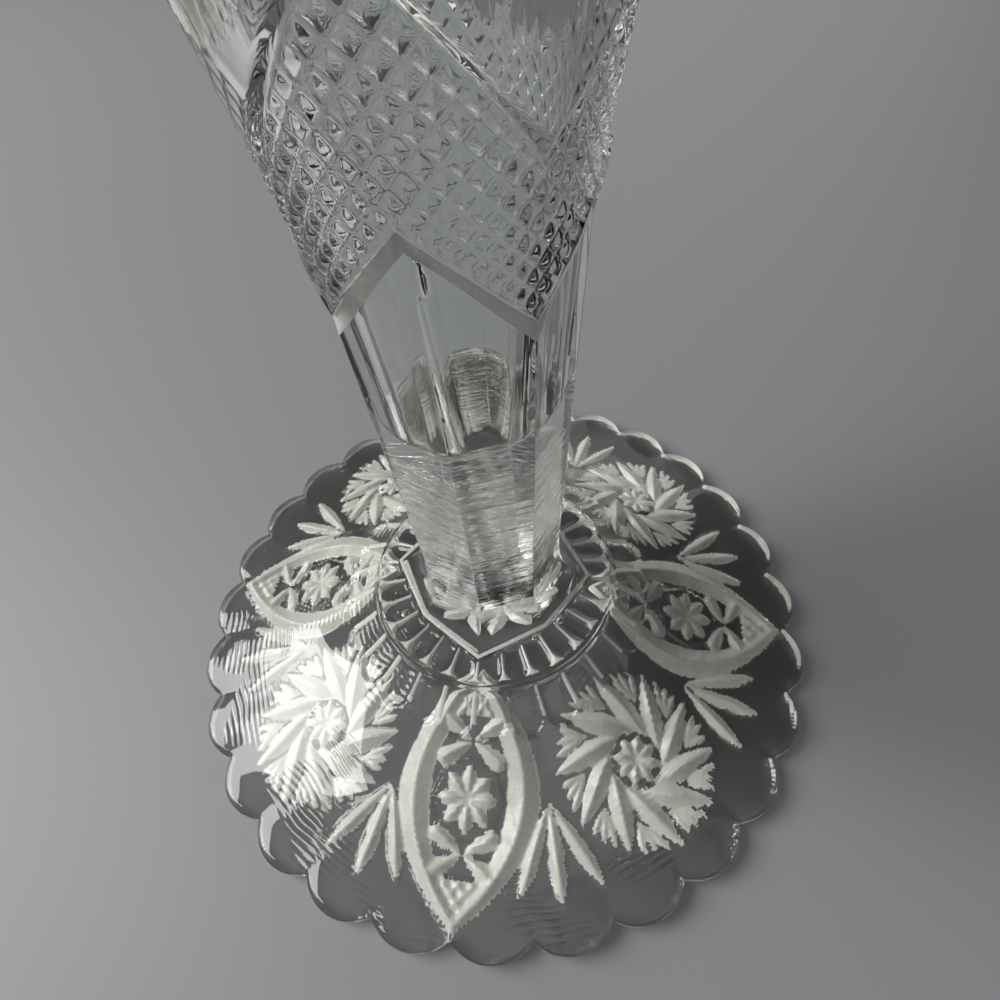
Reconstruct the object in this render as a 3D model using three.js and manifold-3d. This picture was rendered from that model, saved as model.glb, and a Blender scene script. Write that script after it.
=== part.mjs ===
// A tall cut glass vase, in millimetres, +Z up, with its origin at the centre of the face that it rests on.
// It is three pieces of glass: a scalloped foot with a pattern pressed into its underside, a thin wafer
// that fuses the two larger pieces, and a body that is collar, octagonal stem and flared bowl in one.
import * as THREE from "three";
import { mergeVertices } from "three/addons/utils/BufferGeometryUtils.js";
import Module from "manifold-3d";

// Foot
const FOOT_RADIUS = 75; // to the notches between the scallops
const FOOT_SCALLOPS = 28;
const FOOT_SCALLOP_REACH = 3.4; // how far a scallop stands out past the notches
const RIM_THICKNESS = 5;
const RIM_ROUNDING = 1.6;
const PLATE_THICKNESS = 5.6; // of the domed part, inside the rim
const LIP_RADIUS = 30; // of the level lip at the top of the dome, round the wafer's seat
const LIP_HEIGHT = 20.3;
const SEAT_DEPTH = 2.3; // from the lip down to the floor that the wafer lies on
const DOME_SHARPNESS = 2.2; // how quickly the dome falls away from the lip
const DOME_FLUTE_DEPTH = 0.7;
const DOME_FLUTE_LENGTH = 8;
const DOME_SHARES = [0.13, 0.3, 0.5, 0.75]; // of the way from the lip out to where the plate rests
const FLUTE_SHARES = [0.5, 0.1]; // of the dome's flutes, from their outer ends in

// Pattern pressed into the foot's underside
const PATTERN_FOLD = 4; // lens panels, and as many pinwheels between them
const GROOVE_SLOPE = 0.6; // of a groove's two facets, so a wide groove is a deep one
const LENS_INNER_RADIUS = 24;
const LENS_OUTER_RADIUS = 73.5;
const LENS_HALF_WIDTH = 12.15; // to the keel of its border
const LENS_BORDER_WIDTH = 7.2;
const LENS_BORDER_DEPTH = 1.35;
const STAR_RAYS = 8;
const RAY_START_SHARE = 0.08; // of a star's radius, where its rays begin
const RAY_FULLEST = 0.6; // of the way along a ray or a fan's leaf, where it is widest
const LENS_STAR_DISTANCE = 48.9; // from the foot's centre, as the crosses'
const LENS_STAR_RADIUS = 5.7;
const LENS_STAR_RAY_WIDTH = 2.6;
const CROSS_DISTANCES = [37.6, 59.4];
const CROSS_REACH = 8.8;
const CROSS_WIDTH = 3.2;
const CROSS_SLANT = THREE.MathUtils.degToRad(33);
const CENTRE_STAR_RADIUS = 13;
const CENTRE_STAR_RAY_WIDTH = 4.4;
const PINWHEEL_DISTANCE = 51.5; // from the foot's centre to each pinwheel's
const PINWHEEL_RADIUS = 19;
const PINWHEEL_BLADES = 10;
const PINWHEEL_SWEEP = THREE.MathUtils.degToRad(62);
const BLADE_ROOT_SHARE = 0.37; // of a pinwheel's radius, as the shares below
const BLADE_WIDTH_SHARE = 0.25;
const DAISY_SHARE = 0.29;
const DAISY_PETAL_SHARE = 0.125;
const FAN_DISTANCE = 50.2; // from the foot's centre to the root of a fan
const FAN_SPREAD = THREE.MathUtils.degToRad(20.5); // from a lens panel's axis to the root
const FAN_LEAF_WIDTH = 3.3;
const FAN_TIPS = [
  { distance: 68.2, spread: THREE.MathUtils.degToRad(11) },
  { distance: 70.5, spread: THREE.MathUtils.degToRad(18.5) },
  { distance: 69, spread: THREE.MathUtils.degToRad(26.5) },
];

// Wafer
const WAFER_RADIUS = 28;
const WAFER_THICKNESS = 2;
const FUSED_GAP = 0.3; // kept between pieces that touch

// Body
const OVERALL_HEIGHT = 305;
const COLLAR_RADIUS = 29.4;
const COLLAR_EDGE_HEIGHT = 1;
const COLLAR_EDGE_ROUNDING = 0.3;
const COLLAR_FLUTES = 28;
const COLLAR_FLUTE_DEPTH = 0.6;
const COLLAR_FLUTE_SHARES = [0.2, 0.75]; // of the way in along the collar, where its flutes are deep
const COLLAR_HEIGHT = 2.6; // from the collar's underside to the stem's corners
const STEM_SIDES = 8;
const STEM_FLARE_RADIUS = 22.9; // of the four corners that spread at the stem's base
const STEM_BASE_RADIUS = 19.6; // of the four corners between them
const STEM_WAIST_HEIGHT = 40;
const STEM_WAIST_RADIUS = 16.2; // corner to axis, as the next
const STEM_TOP_RADIUS = 19.3;
const FLARE_SHARPNESS = 4.5; // how late the corners spread on their way down from the waist
const FLARE_SHARES = [1, 0.94, 0.86, 0.74, 0.5]; // of the way from the waist down to the base
const FACET_PEAK_HEIGHT = 118; // where the plain facets end, over the spreading corners
const FACET_VALLEY_HEIGHT = 102.5; // and over the corners between them
const BEVEL_HEIGHT = 3.6; // of the plain bevel from the facets out to the bowl
const BOWL_START_RADIUS = 17.7; // of the round bowl's surface, at the facets' valleys
const BOWL_START_SLOPE = 0.145;
const MOUTH_RADIUS = 55;
const MOUTH_SCALLOPS = 16;
const MOUTH_SCALLOP_HEIGHT = 5;
const MOUTH_SCALLOP_POWER = 0.7; // under 1, so that the arches are round and the notches sharp
const BOWL_WALL = 4.8;
const BOWL_RING_SHARES = [0.25, 0.5, 0.75]; // of the way from the zigzag band up to the mouth
const MOUTH_LIP = 1.4; // the rounding of the mouth's edge
const CAVITY_FLOOR_HEIGHT = 80;
const CAVITY_FLOOR_RADIUS = 11.5;
const BAND_PEAK_HEIGHT = 145; // the top of the zigzag band of the bowl, over the facets' peaks
const BAND_VALLEY_HEIGHT = 127;
const MITRE_DEPTH = 1.1;
const MITRE_HALF_HEIGHT = 1.6;

// Pattern pressed into the bowl: a lens panel over each peak of the band, and pinwheels over its valleys
const BOWL_LENS_LOW = 146;
const BOWL_LENS_HIGH = 297;
const BOWL_LENS_HALF_WIDTH = 8.5;
const BOWL_BORDER_WIDTH = 6;
const BOWL_BORDER_DEPTH = 1.2;
const BOWL_PINWHEELS = [
  { height: 149, radius: 14.5 },
  { height: 251, radius: 23 },
];

const CLEAR_GLASS = { color: 0xe9efe9, roughness: 0.04, metalness: 0, transparent: true, opacity: 0.45 };
const FULL_TURN = 2 * Math.PI;
const LOWER_EDGE_TURNS = [0, Math.PI / 2]; // the foot's lower edge is a chamfer, and its upper edge round
const UPPER_EDGE_TURNS = [0, Math.PI / 4, Math.PI / 2];
const FRONT = -Math.PI / 2; // one lens panel, one notch and one spreading corner face this way

const wasm = await Module();
wasm.setup();

// Rings and solids

// A ring of points round the axis; radius and height are functions of the angle.
function ring(count, radius, height) {
  return Array.from({ length: count }, (_, i) => {
    const angle = FRONT + (FULL_TURN * i) / count;
    const r = radius(angle);
    return new THREE.Vector3(r * Math.cos(angle), r * Math.sin(angle), height(angle));
  });
}

function level(value) {
  return () => value;
}

function roundRing(count, radius, height) {
  return ring(count, level(radius), level(height));
}

// The triangles between two neighbouring rings, of which one may have a whole number of times as many points.
function stitch(triangles, lower, upper) {
  const fine = Math.max(lower.length, upper.length);
  const coarse = Math.min(lower.length, upper.length);
  const ratio = fine / coarse;
  if (!Number.isInteger(ratio)) throw new Error("rings of " + fine + " and " + coarse + " points don't meet");
  const upperIsFine = upper.length === fine;
  const [many, few] = upperIsFine ? [upper, lower] : [lower, upper];
  const push = (a, b, c) => triangles.push(...(upperIsFine ? [a, b, c] : [c, b, a]));
  for (let i = 0; i < coarse; i++) {
    const here = few[i];
    const next = few[(i + 1) % coarse];
    const half = Math.floor(ratio / 2);
    for (let j = 0; j < ratio; j++) {
      const a = many[i * ratio + j];
      const b = many[(i * ratio + j + 1) % fine];
      push(j < half ? here : next, b, a);
    }
    push(here, next, many[(i * ratio + half) % fine]);
  }
}

// A closed solid whose skin runs from a lower pole on the axis, out and up through the rings, to an
// upper pole.
function ringSolid(lowerPoleHeight, rings, upperPoleHeight) {
  const triangles = [];
  const first = rings[0];
  const last = rings[rings.length - 1];
  const lowerPole = new THREE.Vector3(0, 0, lowerPoleHeight);
  const upperPole = new THREE.Vector3(0, 0, upperPoleHeight);
  first.forEach((point, i) => triangles.push(lowerPole, first[(i + 1) % first.length], point));
  for (let i = 1; i < rings.length; i++) stitch(triangles, rings[i - 1], rings[i]);
  last.forEach((point, i) => triangles.push(upperPole, point, last[(i + 1) % last.length]));
  return new THREE.BufferGeometry().setFromPoints(triangles);
}

function toManifold(geometry) {
  const bare = geometry.clone();
  bare.deleteAttribute("normal");
  bare.deleteAttribute("uv");
  const merged = mergeVertices(bare, 1e-4);
  return new wasm.Manifold(
    new wasm.Mesh({
      numProp: 3,
      vertProperties: merged.attributes.position.array,
      triVerts: new Uint32Array(merged.index.array),
    }),
  );
}

function toGeometry(solid) {
  const { vertProperties, triVerts } = solid.getMesh();
  const geometry = new THREE.BufferGeometry();
  geometry.setAttribute("position", new THREE.BufferAttribute(vertProperties, 3));
  geometry.setIndex(new THREE.BufferAttribute(triVerts, 1));
  const faceted = geometry.toNonIndexed();
  faceted.computeVertexNormals();
  return faceted;
}

function glassPiece(name, geometry) {
  const mesh = new THREE.Mesh(geometry, new THREE.MeshStandardMaterial(CLEAR_GLASS));
  mesh.name = name;
  return mesh;
}

// Foot

// The scalloped outline: arcs that meet in notches on the foot's radius.
function footOutline(angle) {
  const half = Math.PI / FOOT_SCALLOPS;
  const step = 2 * half;
  const fromMiddle = THREE.MathUtils.euclideanModulo(angle - FRONT, step) - half;
  const crown = FOOT_RADIUS + FOOT_SCALLOP_REACH;
  const centre = (crown ** 2 - FOOT_RADIUS ** 2) / (2 * (crown - FOOT_RADIUS * Math.cos(half)));
  const arc = crown - centre;
  return centre * Math.cos(fromMiddle) + Math.sqrt(arc ** 2 - (centre * Math.sin(fromMiddle)) ** 2);
}

// The dome's top: level at the lip, then falling to the rim ever more gently.
function footTop(radius) {
  const share = THREE.MathUtils.clamp((FOOT_RADIUS - radius) / (FOOT_RADIUS - LIP_RADIUS), 0, 1);
  return RIM_THICKNESS + (LIP_HEIGHT - RIM_THICKNESS) * share ** DOME_SHARPNESS;
}

function footUnderside(radius) {
  return Math.max(0, footTop(radius) - PLATE_THICKNESS);
}

// The radius inside which the plate stands clear of the table.
function restingRadius() {
  const drop = (PLATE_THICKNESS - RIM_THICKNESS) / (LIP_HEIGHT - RIM_THICKNESS);
  return FOOT_RADIUS - (FOOT_RADIUS - LIP_RADIUS) * drop ** (1 / DOME_SHARPNESS);
}

// One flute's section across: 0 on its crests, 1 along its middle.
function fluteShare(angle, flutes) {
  return Math.sin((flutes * (angle - FRONT + Math.PI / flutes)) / 2) ** 2;
}

function footPlate() {
  const rimCount = FOOT_SCALLOPS * 6;
  const domeCount = FOOT_SCALLOPS * 2;
  const fluteCount = FOOT_SCALLOPS * 4;
  const restingEdge = restingRadius();
  const inset = (amount) => (angle) => footOutline(angle) - amount;
  const between = (share) => THREE.MathUtils.lerp(LIP_RADIUS, restingEdge, share);
  const rings = [roundRing(FOOT_SCALLOPS, LIP_RADIUS / 2, footUnderside(0))];
  for (const share of [0, ...DOME_SHARES]) {
    rings.push(roundRing(domeCount, between(share), footUnderside(between(share))));
  }
  rings.push(roundRing(domeCount, restingEdge, 0));
  for (const angle of LOWER_EDGE_TURNS) {
    const amount = RIM_ROUNDING * (1 - Math.sin(angle));
    rings.push(ring(rimCount, inset(amount), level(RIM_ROUNDING * (1 - Math.cos(angle)))));
  }
  for (const angle of UPPER_EDGE_TURNS) {
    const amount = RIM_ROUNDING * (1 - Math.cos(angle));
    rings.push(ring(rimCount, inset(amount), level(RIM_THICKNESS - RIM_ROUNDING * (1 - Math.sin(angle)))));
  }
  for (const share of [1, ...DOME_SHARES.slice(1).reverse()]) {
    rings.push(roundRing(domeCount, between(share), footTop(between(share))));
  }
  for (const share of FLUTE_SHARES) {
    const radius = LIP_RADIUS + share * DOME_FLUTE_LENGTH;
    const fluted = (angle) => footTop(radius) - DOME_FLUTE_DEPTH * fluteShare(angle, FOOT_SCALLOPS);
    rings.push(ring(fluteCount, level(radius), fluted));
  }
  rings.push(roundRing(domeCount, LIP_RADIUS, LIP_HEIGHT));
  for (const depth of [0, SEAT_DEPTH]) {
    rings.push(roundRing(domeCount, WAFER_RADIUS + FUSED_GAP, LIP_HEIGHT - depth));
  }
  return toManifold(ringSolid(footUnderside(0), rings, LIP_HEIGHT - SEAT_DEPTH));
}

// Grooves: a groove is a V cut that runs along stations on a surface, and comes to a point at each end.
// A station is its place along and across the surface, its half width and its depth; the surface is a
// function that gives the point in space a stated way outside the glass.
const CUTTER_LIFT = 0.25; // how far outside the glass a groove's edges start
const CUTTER_REACH = 2;
const BORDER_STATIONS = [-1, -0.88, -0.6, -0.22, 0.22, 0.6, 0.88, 1]; // shares of a lens panel's half length

function grooveCutter(stations, surface) {
  const last = stations.length - 1;
  const rows = stations.map(({ u, v, half, depth }, i) => {
    const before = stations[Math.max(i - 1, 0)];
    const after = stations[Math.min(i + 1, last)];
    const across = new THREE.Vector2(before.v - after.v, after.u - before.u).setLength(half || 1e-3);
    const left = [u + across.x, v + across.y];
    const right = [u - across.x, v - across.y];
    const isTip = i === 0 || i === last;
    return {
      keel: isTip ? surface(u, v, CUTTER_LIFT) : surface(u, v, -depth),
      left: isTip ? null : surface(...left, CUTTER_LIFT),
      right: isTip ? null : surface(...right, CUTTER_LIFT),
      outerLeft: isTip ? null : surface(...left, CUTTER_REACH),
      outerRight: isTip ? null : surface(...right, CUTTER_REACH),
      outer: surface(u, v, CUTTER_REACH),
    };
  });
  const triangles = [];
  const quad = (a, b, c, d) => triangles.push(a, b, c, a, c, d);
  for (let i = 1; i <= last; i++) {
    const a = rows[i - 1];
    const b = rows[i];
    if (i === 1) {
      triangles.push(a.keel, b.left, b.keel, a.keel, b.keel, b.right);
      quad(a.keel, a.outer, b.outerLeft, b.left);
      quad(a.outer, a.keel, b.right, b.outerRight);
      triangles.push(a.outer, b.outerRight, b.outerLeft);
    } else if (i === last) {
      triangles.push(b.keel, a.keel, a.left, b.keel, a.right, a.keel);
      quad(b.outer, b.keel, a.left, a.outerLeft);
      quad(b.keel, b.outer, a.outerRight, a.right);
      triangles.push(b.outer, a.outerLeft, a.outerRight);
    } else {
      quad(a.left, b.left, b.keel, a.keel);
      quad(a.keel, b.keel, b.right, a.right);
      quad(a.outerLeft, b.outerLeft, b.left, a.left);
      quad(a.right, b.right, b.outerRight, a.outerRight);
      quad(a.outerRight, b.outerRight, b.outerLeft, a.outerLeft);
    }
  }
  const cutter = toManifold(new THREE.BufferGeometry().setFromPoints(triangles));
  if (cutter.volume() > 0) return cutter;
  return toManifold(new THREE.BufferGeometry().setFromPoints(triangles.reverse()));
}

// A leaf: a short groove between two places, fullest part of the way along.
function leaf(from, to, width, fullest = 0.5) {
  const at = (share, size) => ({
    u: THREE.MathUtils.lerp(from[0], to[0], share),
    v: THREE.MathUtils.lerp(from[1], to[1], share),
    half: (size * width) / 2,
    depth: (size * width * GROOVE_SLOPE) / 2,
  });
  return [at(0, 0), at(fullest, 1), at(1, 0)];
}

// The borders of a lens panel: a curved groove on each side of it, which meet in points. The function place
// gives the surface's own coordinates for a place along and across the panel.
function lensBorders(panel, place) {
  const middle = (panel.low + panel.high) / 2;
  const halfLength = (panel.high - panel.low) / 2;
  return [-1, 1].map((side) =>
    BORDER_STATIONS.map((share) => {
      const fullness = 1 - share * share;
      const [u, v] = place(middle + share * halfLength, side * panel.halfWidth * fullness);
      return { u, v, half: (panel.borderWidth * fullness) / 2, depth: panel.depth * Math.sqrt(fullness) };
    }),
  );
}

function polar(radius, angle, centre = [0, 0]) {
  return [centre[0] + radius * Math.cos(angle), centre[1] + radius * Math.sin(angle)];
}

function star(centre, radius, rayWidth, turn = 0) {
  return Array.from({ length: STAR_RAYS }, (_, i) => {
    const angle = turn + (FULL_TURN * i) / STAR_RAYS;
    const start = polar(radius * RAY_START_SHARE, angle, centre);
    return leaf(start, polar(radius, angle, centre), rayWidth, RAY_FULLEST);
  });
}

// The blades of a pinwheel leave a ring round its hub at a slant, each turning through the same sweep.
function blades(centre, radius) {
  return Array.from({ length: PINWHEEL_BLADES }, (_, i) => {
    const start = (FULL_TURN * i) / PINWHEEL_BLADES;
    const root = polar(radius * BLADE_ROOT_SHARE, start, centre);
    return leaf(root, polar(radius, start + PINWHEEL_SWEEP, centre), radius * BLADE_WIDTH_SHARE);
  });
}

// A pinwheel: blades round a daisy.
function pinwheel(centre, radius) {
  return [...star(centre, radius * DAISY_SHARE, radius * DAISY_PETAL_SHARE), ...blades(centre, radius)];
}

// Places on the foot's underside are x and y, and outside the glass is below it.
function undersideSurface(x, y, outside) {
  return new THREE.Vector3(x, y, footUnderside(Math.hypot(x, y)) - outside);
}

// A lens panel of the foot: its borders, and on its axis a star between two crosses.
function footLensPanel(turn) {
  const place = (along, across) => {
    const [x, y] = polar(along, turn);
    return polar(across, turn + Math.PI / 2, [x, y]);
  };
  const panel = {
    low: LENS_INNER_RADIUS,
    high: LENS_OUTER_RADIUS,
    halfWidth: LENS_HALF_WIDTH,
    borderWidth: LENS_BORDER_WIDTH,
    depth: LENS_BORDER_DEPTH,
  };
  const grooves = lensBorders(panel, place);
  grooves.push(...star(place(LENS_STAR_DISTANCE, 0), LENS_STAR_RADIUS, LENS_STAR_RAY_WIDTH, turn));
  for (const distance of CROSS_DISTANCES) {
    const crossing = place(distance, 0);
    for (const slant of [-CROSS_SLANT, CROSS_SLANT]) {
      const angle = turn + Math.PI / 2 + slant;
      const start = polar(-CROSS_REACH, angle, crossing);
      grooves.push(leaf(start, polar(CROSS_REACH, angle, crossing), CROSS_WIDTH));
    }
  }
  return grooves;
}

// Three leaves that spread towards the rim, on one side of a lens panel.
function fan(turn, side) {
  const root = polar(FAN_DISTANCE, turn + side * FAN_SPREAD);
  return FAN_TIPS.map(({ distance, spread }) => {
    return leaf(root, polar(distance, turn + side * spread), FAN_LEAF_WIDTH, RAY_FULLEST);
  });
}

function footPattern() {
  const grooves = star([0, 0], CENTRE_STAR_RADIUS, CENTRE_STAR_RAY_WIDTH, FRONT);
  for (let i = 0; i < PATTERN_FOLD; i++) {
    const turn = FRONT + (FULL_TURN * i) / PATTERN_FOLD;
    grooves.push(...footLensPanel(turn), ...fan(turn, -1), ...fan(turn, 1));
    grooves.push(...pinwheel(polar(PINWHEEL_DISTANCE, turn + Math.PI / PATTERN_FOLD), PINWHEEL_RADIUS));
  }
  return grooves;
}

function makeFoot() {
  const cutters = footPattern().map((stations) => grooveCutter(stations, undersideSurface));
  return glassPiece("foot", toGeometry(footPlate().subtract(wasm.Manifold.union(cutters))));
}

// Wafer

const WAFER_BASE_HEIGHT = LIP_HEIGHT - SEAT_DEPTH + FUSED_GAP;

function makeWafer() {
  const half = WAFER_THICKNESS / 2;
  const profile = [new THREE.Vector2(0, 0)];
  for (const turn of [-1, 0, 1]) {
    const angle = (turn * Math.PI) / 2;
    const reach = WAFER_RADIUS - half * (1 - Math.cos(angle));
    profile.push(new THREE.Vector2(reach, half * (1 + Math.sin(angle))));
  }
  profile.push(new THREE.Vector2(0, WAFER_THICKNESS));
  const geometry = new THREE.LatheGeometry(profile, FOOT_SCALLOPS * 2);
  geometry.rotateX(Math.PI / 2);
  const wafer = glassPiece("wafer", toGeometry(toManifold(geometry)));
  wafer.position.z = WAFER_BASE_HEIGHT;
  return wafer;
}

// Body

const BODY_BASE_HEIGHT = WAFER_BASE_HEIGHT + WAFER_THICKNESS + FUSED_GAP;
const STEM_BASE_HEIGHT = BODY_BASE_HEIGHT + COLLAR_HEIGHT;

// 0 over the valleys of the facets' zigzag and 1 over its peaks, along straight lines.
function zigzag(angle) {
  const sector = FULL_TURN / STEM_SIDES;
  const place = THREE.MathUtils.euclideanModulo(angle - FRONT, 2 * sector) / sector;
  return Math.abs(1 - place);
}

function bowlRadius(height) {
  const full = OVERALL_HEIGHT - FACET_VALLEY_HEIGHT;
  const rise = height - FACET_VALLEY_HEIGHT;
  const spread = MOUTH_RADIUS - BOWL_START_RADIUS - BOWL_START_SLOPE * full;
  return BOWL_START_RADIUS + BOWL_START_SLOPE * rise + spread * (rise / full) ** 2;
}

function stemRadius(height) {
  const share = (height - STEM_WAIST_HEIGHT) / (FACET_PEAK_HEIGHT - STEM_WAIST_HEIGHT);
  return STEM_WAIST_RADIUS + (STEM_TOP_RADIUS - STEM_WAIST_RADIUS) * share;
}

// The stem's corners below the waist: every other one spreads, hollow in profile, to the collar.
function flareRadius(angle, share) {
  const foot = zigzag(angle) > 0.5 ? STEM_FLARE_RADIUS : STEM_BASE_RADIUS;
  return STEM_WAIST_RADIUS + (foot - STEM_WAIST_RADIUS) * share ** FLARE_SHARPNESS;
}

function mouthHeight(angle) {
  const wave = Math.abs(Math.cos((MOUTH_SCALLOPS * (angle - FRONT)) / 2));
  return OVERALL_HEIGHT - MOUTH_SCALLOP_HEIGHT * (1 - wave ** MOUTH_SCALLOP_POWER);
}

// The radius inside the bowl: the outer surface less the wall, drawn in to the cavity's floor.
function cavityRadius(height) {
  if (height > FACET_PEAK_HEIGHT) return bowlRadius(height) - BOWL_WALL;
  const top = bowlRadius(FACET_PEAK_HEIGHT) - BOWL_WALL;
  const share = (height - CAVITY_FLOOR_HEIGHT) / (FACET_PEAK_HEIGHT - CAVITY_FLOOR_HEIGHT);
  return CAVITY_FLOOR_RADIUS + (top - CAVITY_FLOOR_RADIUS) * share;
}

function facetTop(angle) {
  return THREE.MathUtils.lerp(FACET_VALLEY_HEIGHT, FACET_PEAK_HEIGHT, zigzag(angle));
}

function bandTop(angle) {
  return THREE.MathUtils.lerp(BAND_VALLEY_HEIGHT, BAND_PEAK_HEIGHT, zigzag(angle));
}

function collarRings() {
  const edgeCount = COLLAR_FLUTES * 2;
  const fluteCount = COLLAR_FLUTES * 4;
  const edge = COLLAR_EDGE_ROUNDING;
  const top = BODY_BASE_HEIGHT + COLLAR_EDGE_HEIGHT;
  const rings = [
    roundRing(COLLAR_FLUTES, COLLAR_RADIUS - edge, BODY_BASE_HEIGHT),
    roundRing(edgeCount, COLLAR_RADIUS, BODY_BASE_HEIGHT + edge),
    roundRing(edgeCount, COLLAR_RADIUS, top - edge),
    roundRing(edgeCount, COLLAR_RADIUS - edge, top),
  ];
  for (const share of COLLAR_FLUTE_SHARES) {
    const radius = THREE.MathUtils.lerp(COLLAR_RADIUS - edge, STEM_FLARE_RADIUS, share);
    const height = THREE.MathUtils.lerp(top, STEM_BASE_HEIGHT, share);
    const fluted = (angle) => height - COLLAR_FLUTE_DEPTH * fluteShare(angle, COLLAR_FLUTES);
    rings.push(ring(fluteCount, level(radius), fluted));
  }
  rings.push(roundRing(edgeCount, STEM_FLARE_RADIUS + COLLAR_EDGE_ROUNDING, STEM_BASE_HEIGHT));
  return rings;
}

function stemRings() {
  const rings = FLARE_SHARES.map((share) => {
    const height = THREE.MathUtils.lerp(STEM_WAIST_HEIGHT, STEM_BASE_HEIGHT, share);
    return ring(STEM_SIDES, (angle) => flareRadius(angle, share), level(height));
  });
  rings.push(roundRing(STEM_SIDES, STEM_WAIST_RADIUS, STEM_WAIST_HEIGHT));
  rings.push(ring(STEM_SIDES, (angle) => stemRadius(facetTop(angle)), facetTop));
  return rings;
}

function bowlRings() {
  const count = STEM_SIDES * 6;
  const onBowl = (height) => ring(count, (angle) => bowlRadius(height(angle)), height);
  const mix = (from, to, share) => (angle) => THREE.MathUtils.lerp(from(angle), to(angle), share);
  const bevelTop = (angle) => facetTop(angle) + BEVEL_HEIGHT;
  const rings = [onBowl(bevelTop), onBowl(mix(bevelTop, bandTop, 0.5))];
  for (const [rise, depth] of [[-MITRE_HALF_HEIGHT, 0], [0, MITRE_DEPTH], [MITRE_HALF_HEIGHT, 0]]) {
    const height = (angle) => bandTop(angle) + rise;
    rings.push(ring(count, (angle) => bowlRadius(height(angle)) - depth, height));
  }
  const rimBase = (angle) => mouthHeight(angle) - MOUTH_LIP;
  const panelBase = (angle) => bandTop(angle) + MITRE_HALF_HEIGHT;
  for (const share of BOWL_RING_SHARES) rings.push(onBowl(mix(panelBase, rimBase, share)));
  return rings;
}

function mouthRings() {
  const count = MOUTH_SCALLOPS * 6;
  const at = (inset, drop) => {
    const height = (angle) => mouthHeight(angle) - drop;
    return ring(count, (angle) => bowlRadius(height(angle)) - inset, height);
  };
  return [
    at(0, MOUTH_LIP),
    at(MOUTH_LIP * 0.4, MOUTH_LIP * 0.35),
    at(MOUTH_LIP, 0),
    at(BOWL_WALL - MOUTH_LIP, 0),
    at(BOWL_WALL, MOUTH_LIP),
  ];
}

function cavityRings() {
  const count = STEM_SIDES * 4;
  const top = OVERALL_HEIGHT - MOUTH_SCALLOP_HEIGHT - 2 * MOUTH_LIP;
  const rings = [];
  for (const share of [1, 0.75, 0.5, 0.25, 0]) {
    const height = THREE.MathUtils.lerp(FACET_PEAK_HEIGHT, top, share);
    rings.push(roundRing(count, cavityRadius(height), height));
  }
  const rounding = CAVITY_FLOOR_RADIUS / 2;
  const wall = cavityRadius(CAVITY_FLOOR_HEIGHT + rounding);
  for (const turn of [0, 1 / 3, 2 / 3, 1]) {
    const angle = (turn * Math.PI) / 2;
    const height = CAVITY_FLOOR_HEIGHT + rounding * (1 - Math.sin(angle));
    rings.push(roundRing(count, wall - rounding * (1 - Math.cos(angle)), height));
  }
  return rings;
}

// Places on the bowl are a height and a distance round it from a panel's axis, and outside is away from it.
function bowlSurface(turn) {
  return (height, across, outside) => {
    const radius = bowlRadius(height);
    const [x, y] = polar(radius + outside, turn + across / radius);
    return new THREE.Vector3(x, y, height);
  };
}

// One cutter for each groove of the bowl's lens panels and columns of pinwheels.
function bowlCutters() {
  const panel = {
    low: BOWL_LENS_LOW,
    high: BOWL_LENS_HIGH,
    halfWidth: BOWL_LENS_HALF_WIDTH,
    borderWidth: BOWL_BORDER_WIDTH,
    depth: BOWL_BORDER_DEPTH,
  };
  const borders = lensBorders(panel, (along, across) => [along, across]);
  const wheels = BOWL_PINWHEELS.flatMap(({ height, radius }) => blades([height, 0], radius));
  const cutters = [];
  for (let i = 0; i < PATTERN_FOLD; i++) {
    const turn = FRONT + (FULL_TURN * i) / PATTERN_FOLD;
    const overPeak = bowlSurface(turn);
    const overValley = bowlSurface(turn + Math.PI / PATTERN_FOLD);
    cutters.push(...borders.map((stations) => grooveCutter(stations, overPeak)));
    cutters.push(...wheels.map((stations) => grooveCutter(stations, overValley)));
  }
  return cutters;
}

function makeBody() {
  const rings = [...collarRings(), ...stemRings(), ...bowlRings(), ...mouthRings(), ...cavityRings()];
  const blank = toManifold(ringSolid(BODY_BASE_HEIGHT, rings, CAVITY_FLOOR_HEIGHT));
  return glassPiece("body", toGeometry(blank.subtract(wasm.Manifold.union(bowlCutters()))));
}

const vase = new THREE.Group();
vase.name = "cut_glass_vase";
vase.add(makeFoot(), makeWafer(), makeBody());

export default vase;
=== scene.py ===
"""Dresses a tall pressed glass vase, in metres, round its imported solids.

The vase is three pieces of clear glass: a scalloped foot with pinwheels, lens panels and fans pressed into
its underside, a thin wafer, and a body that is fluted collar, octagonal stem and flared bowl in one.
Each piece is one closed skin that grows from a lower pole on the axis, ring by ring, to an upper pole.
"""

import logging
import math
from collections.abc import Callable, Sequence
from dataclasses import dataclass, field, replace
from enum import Enum

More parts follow.
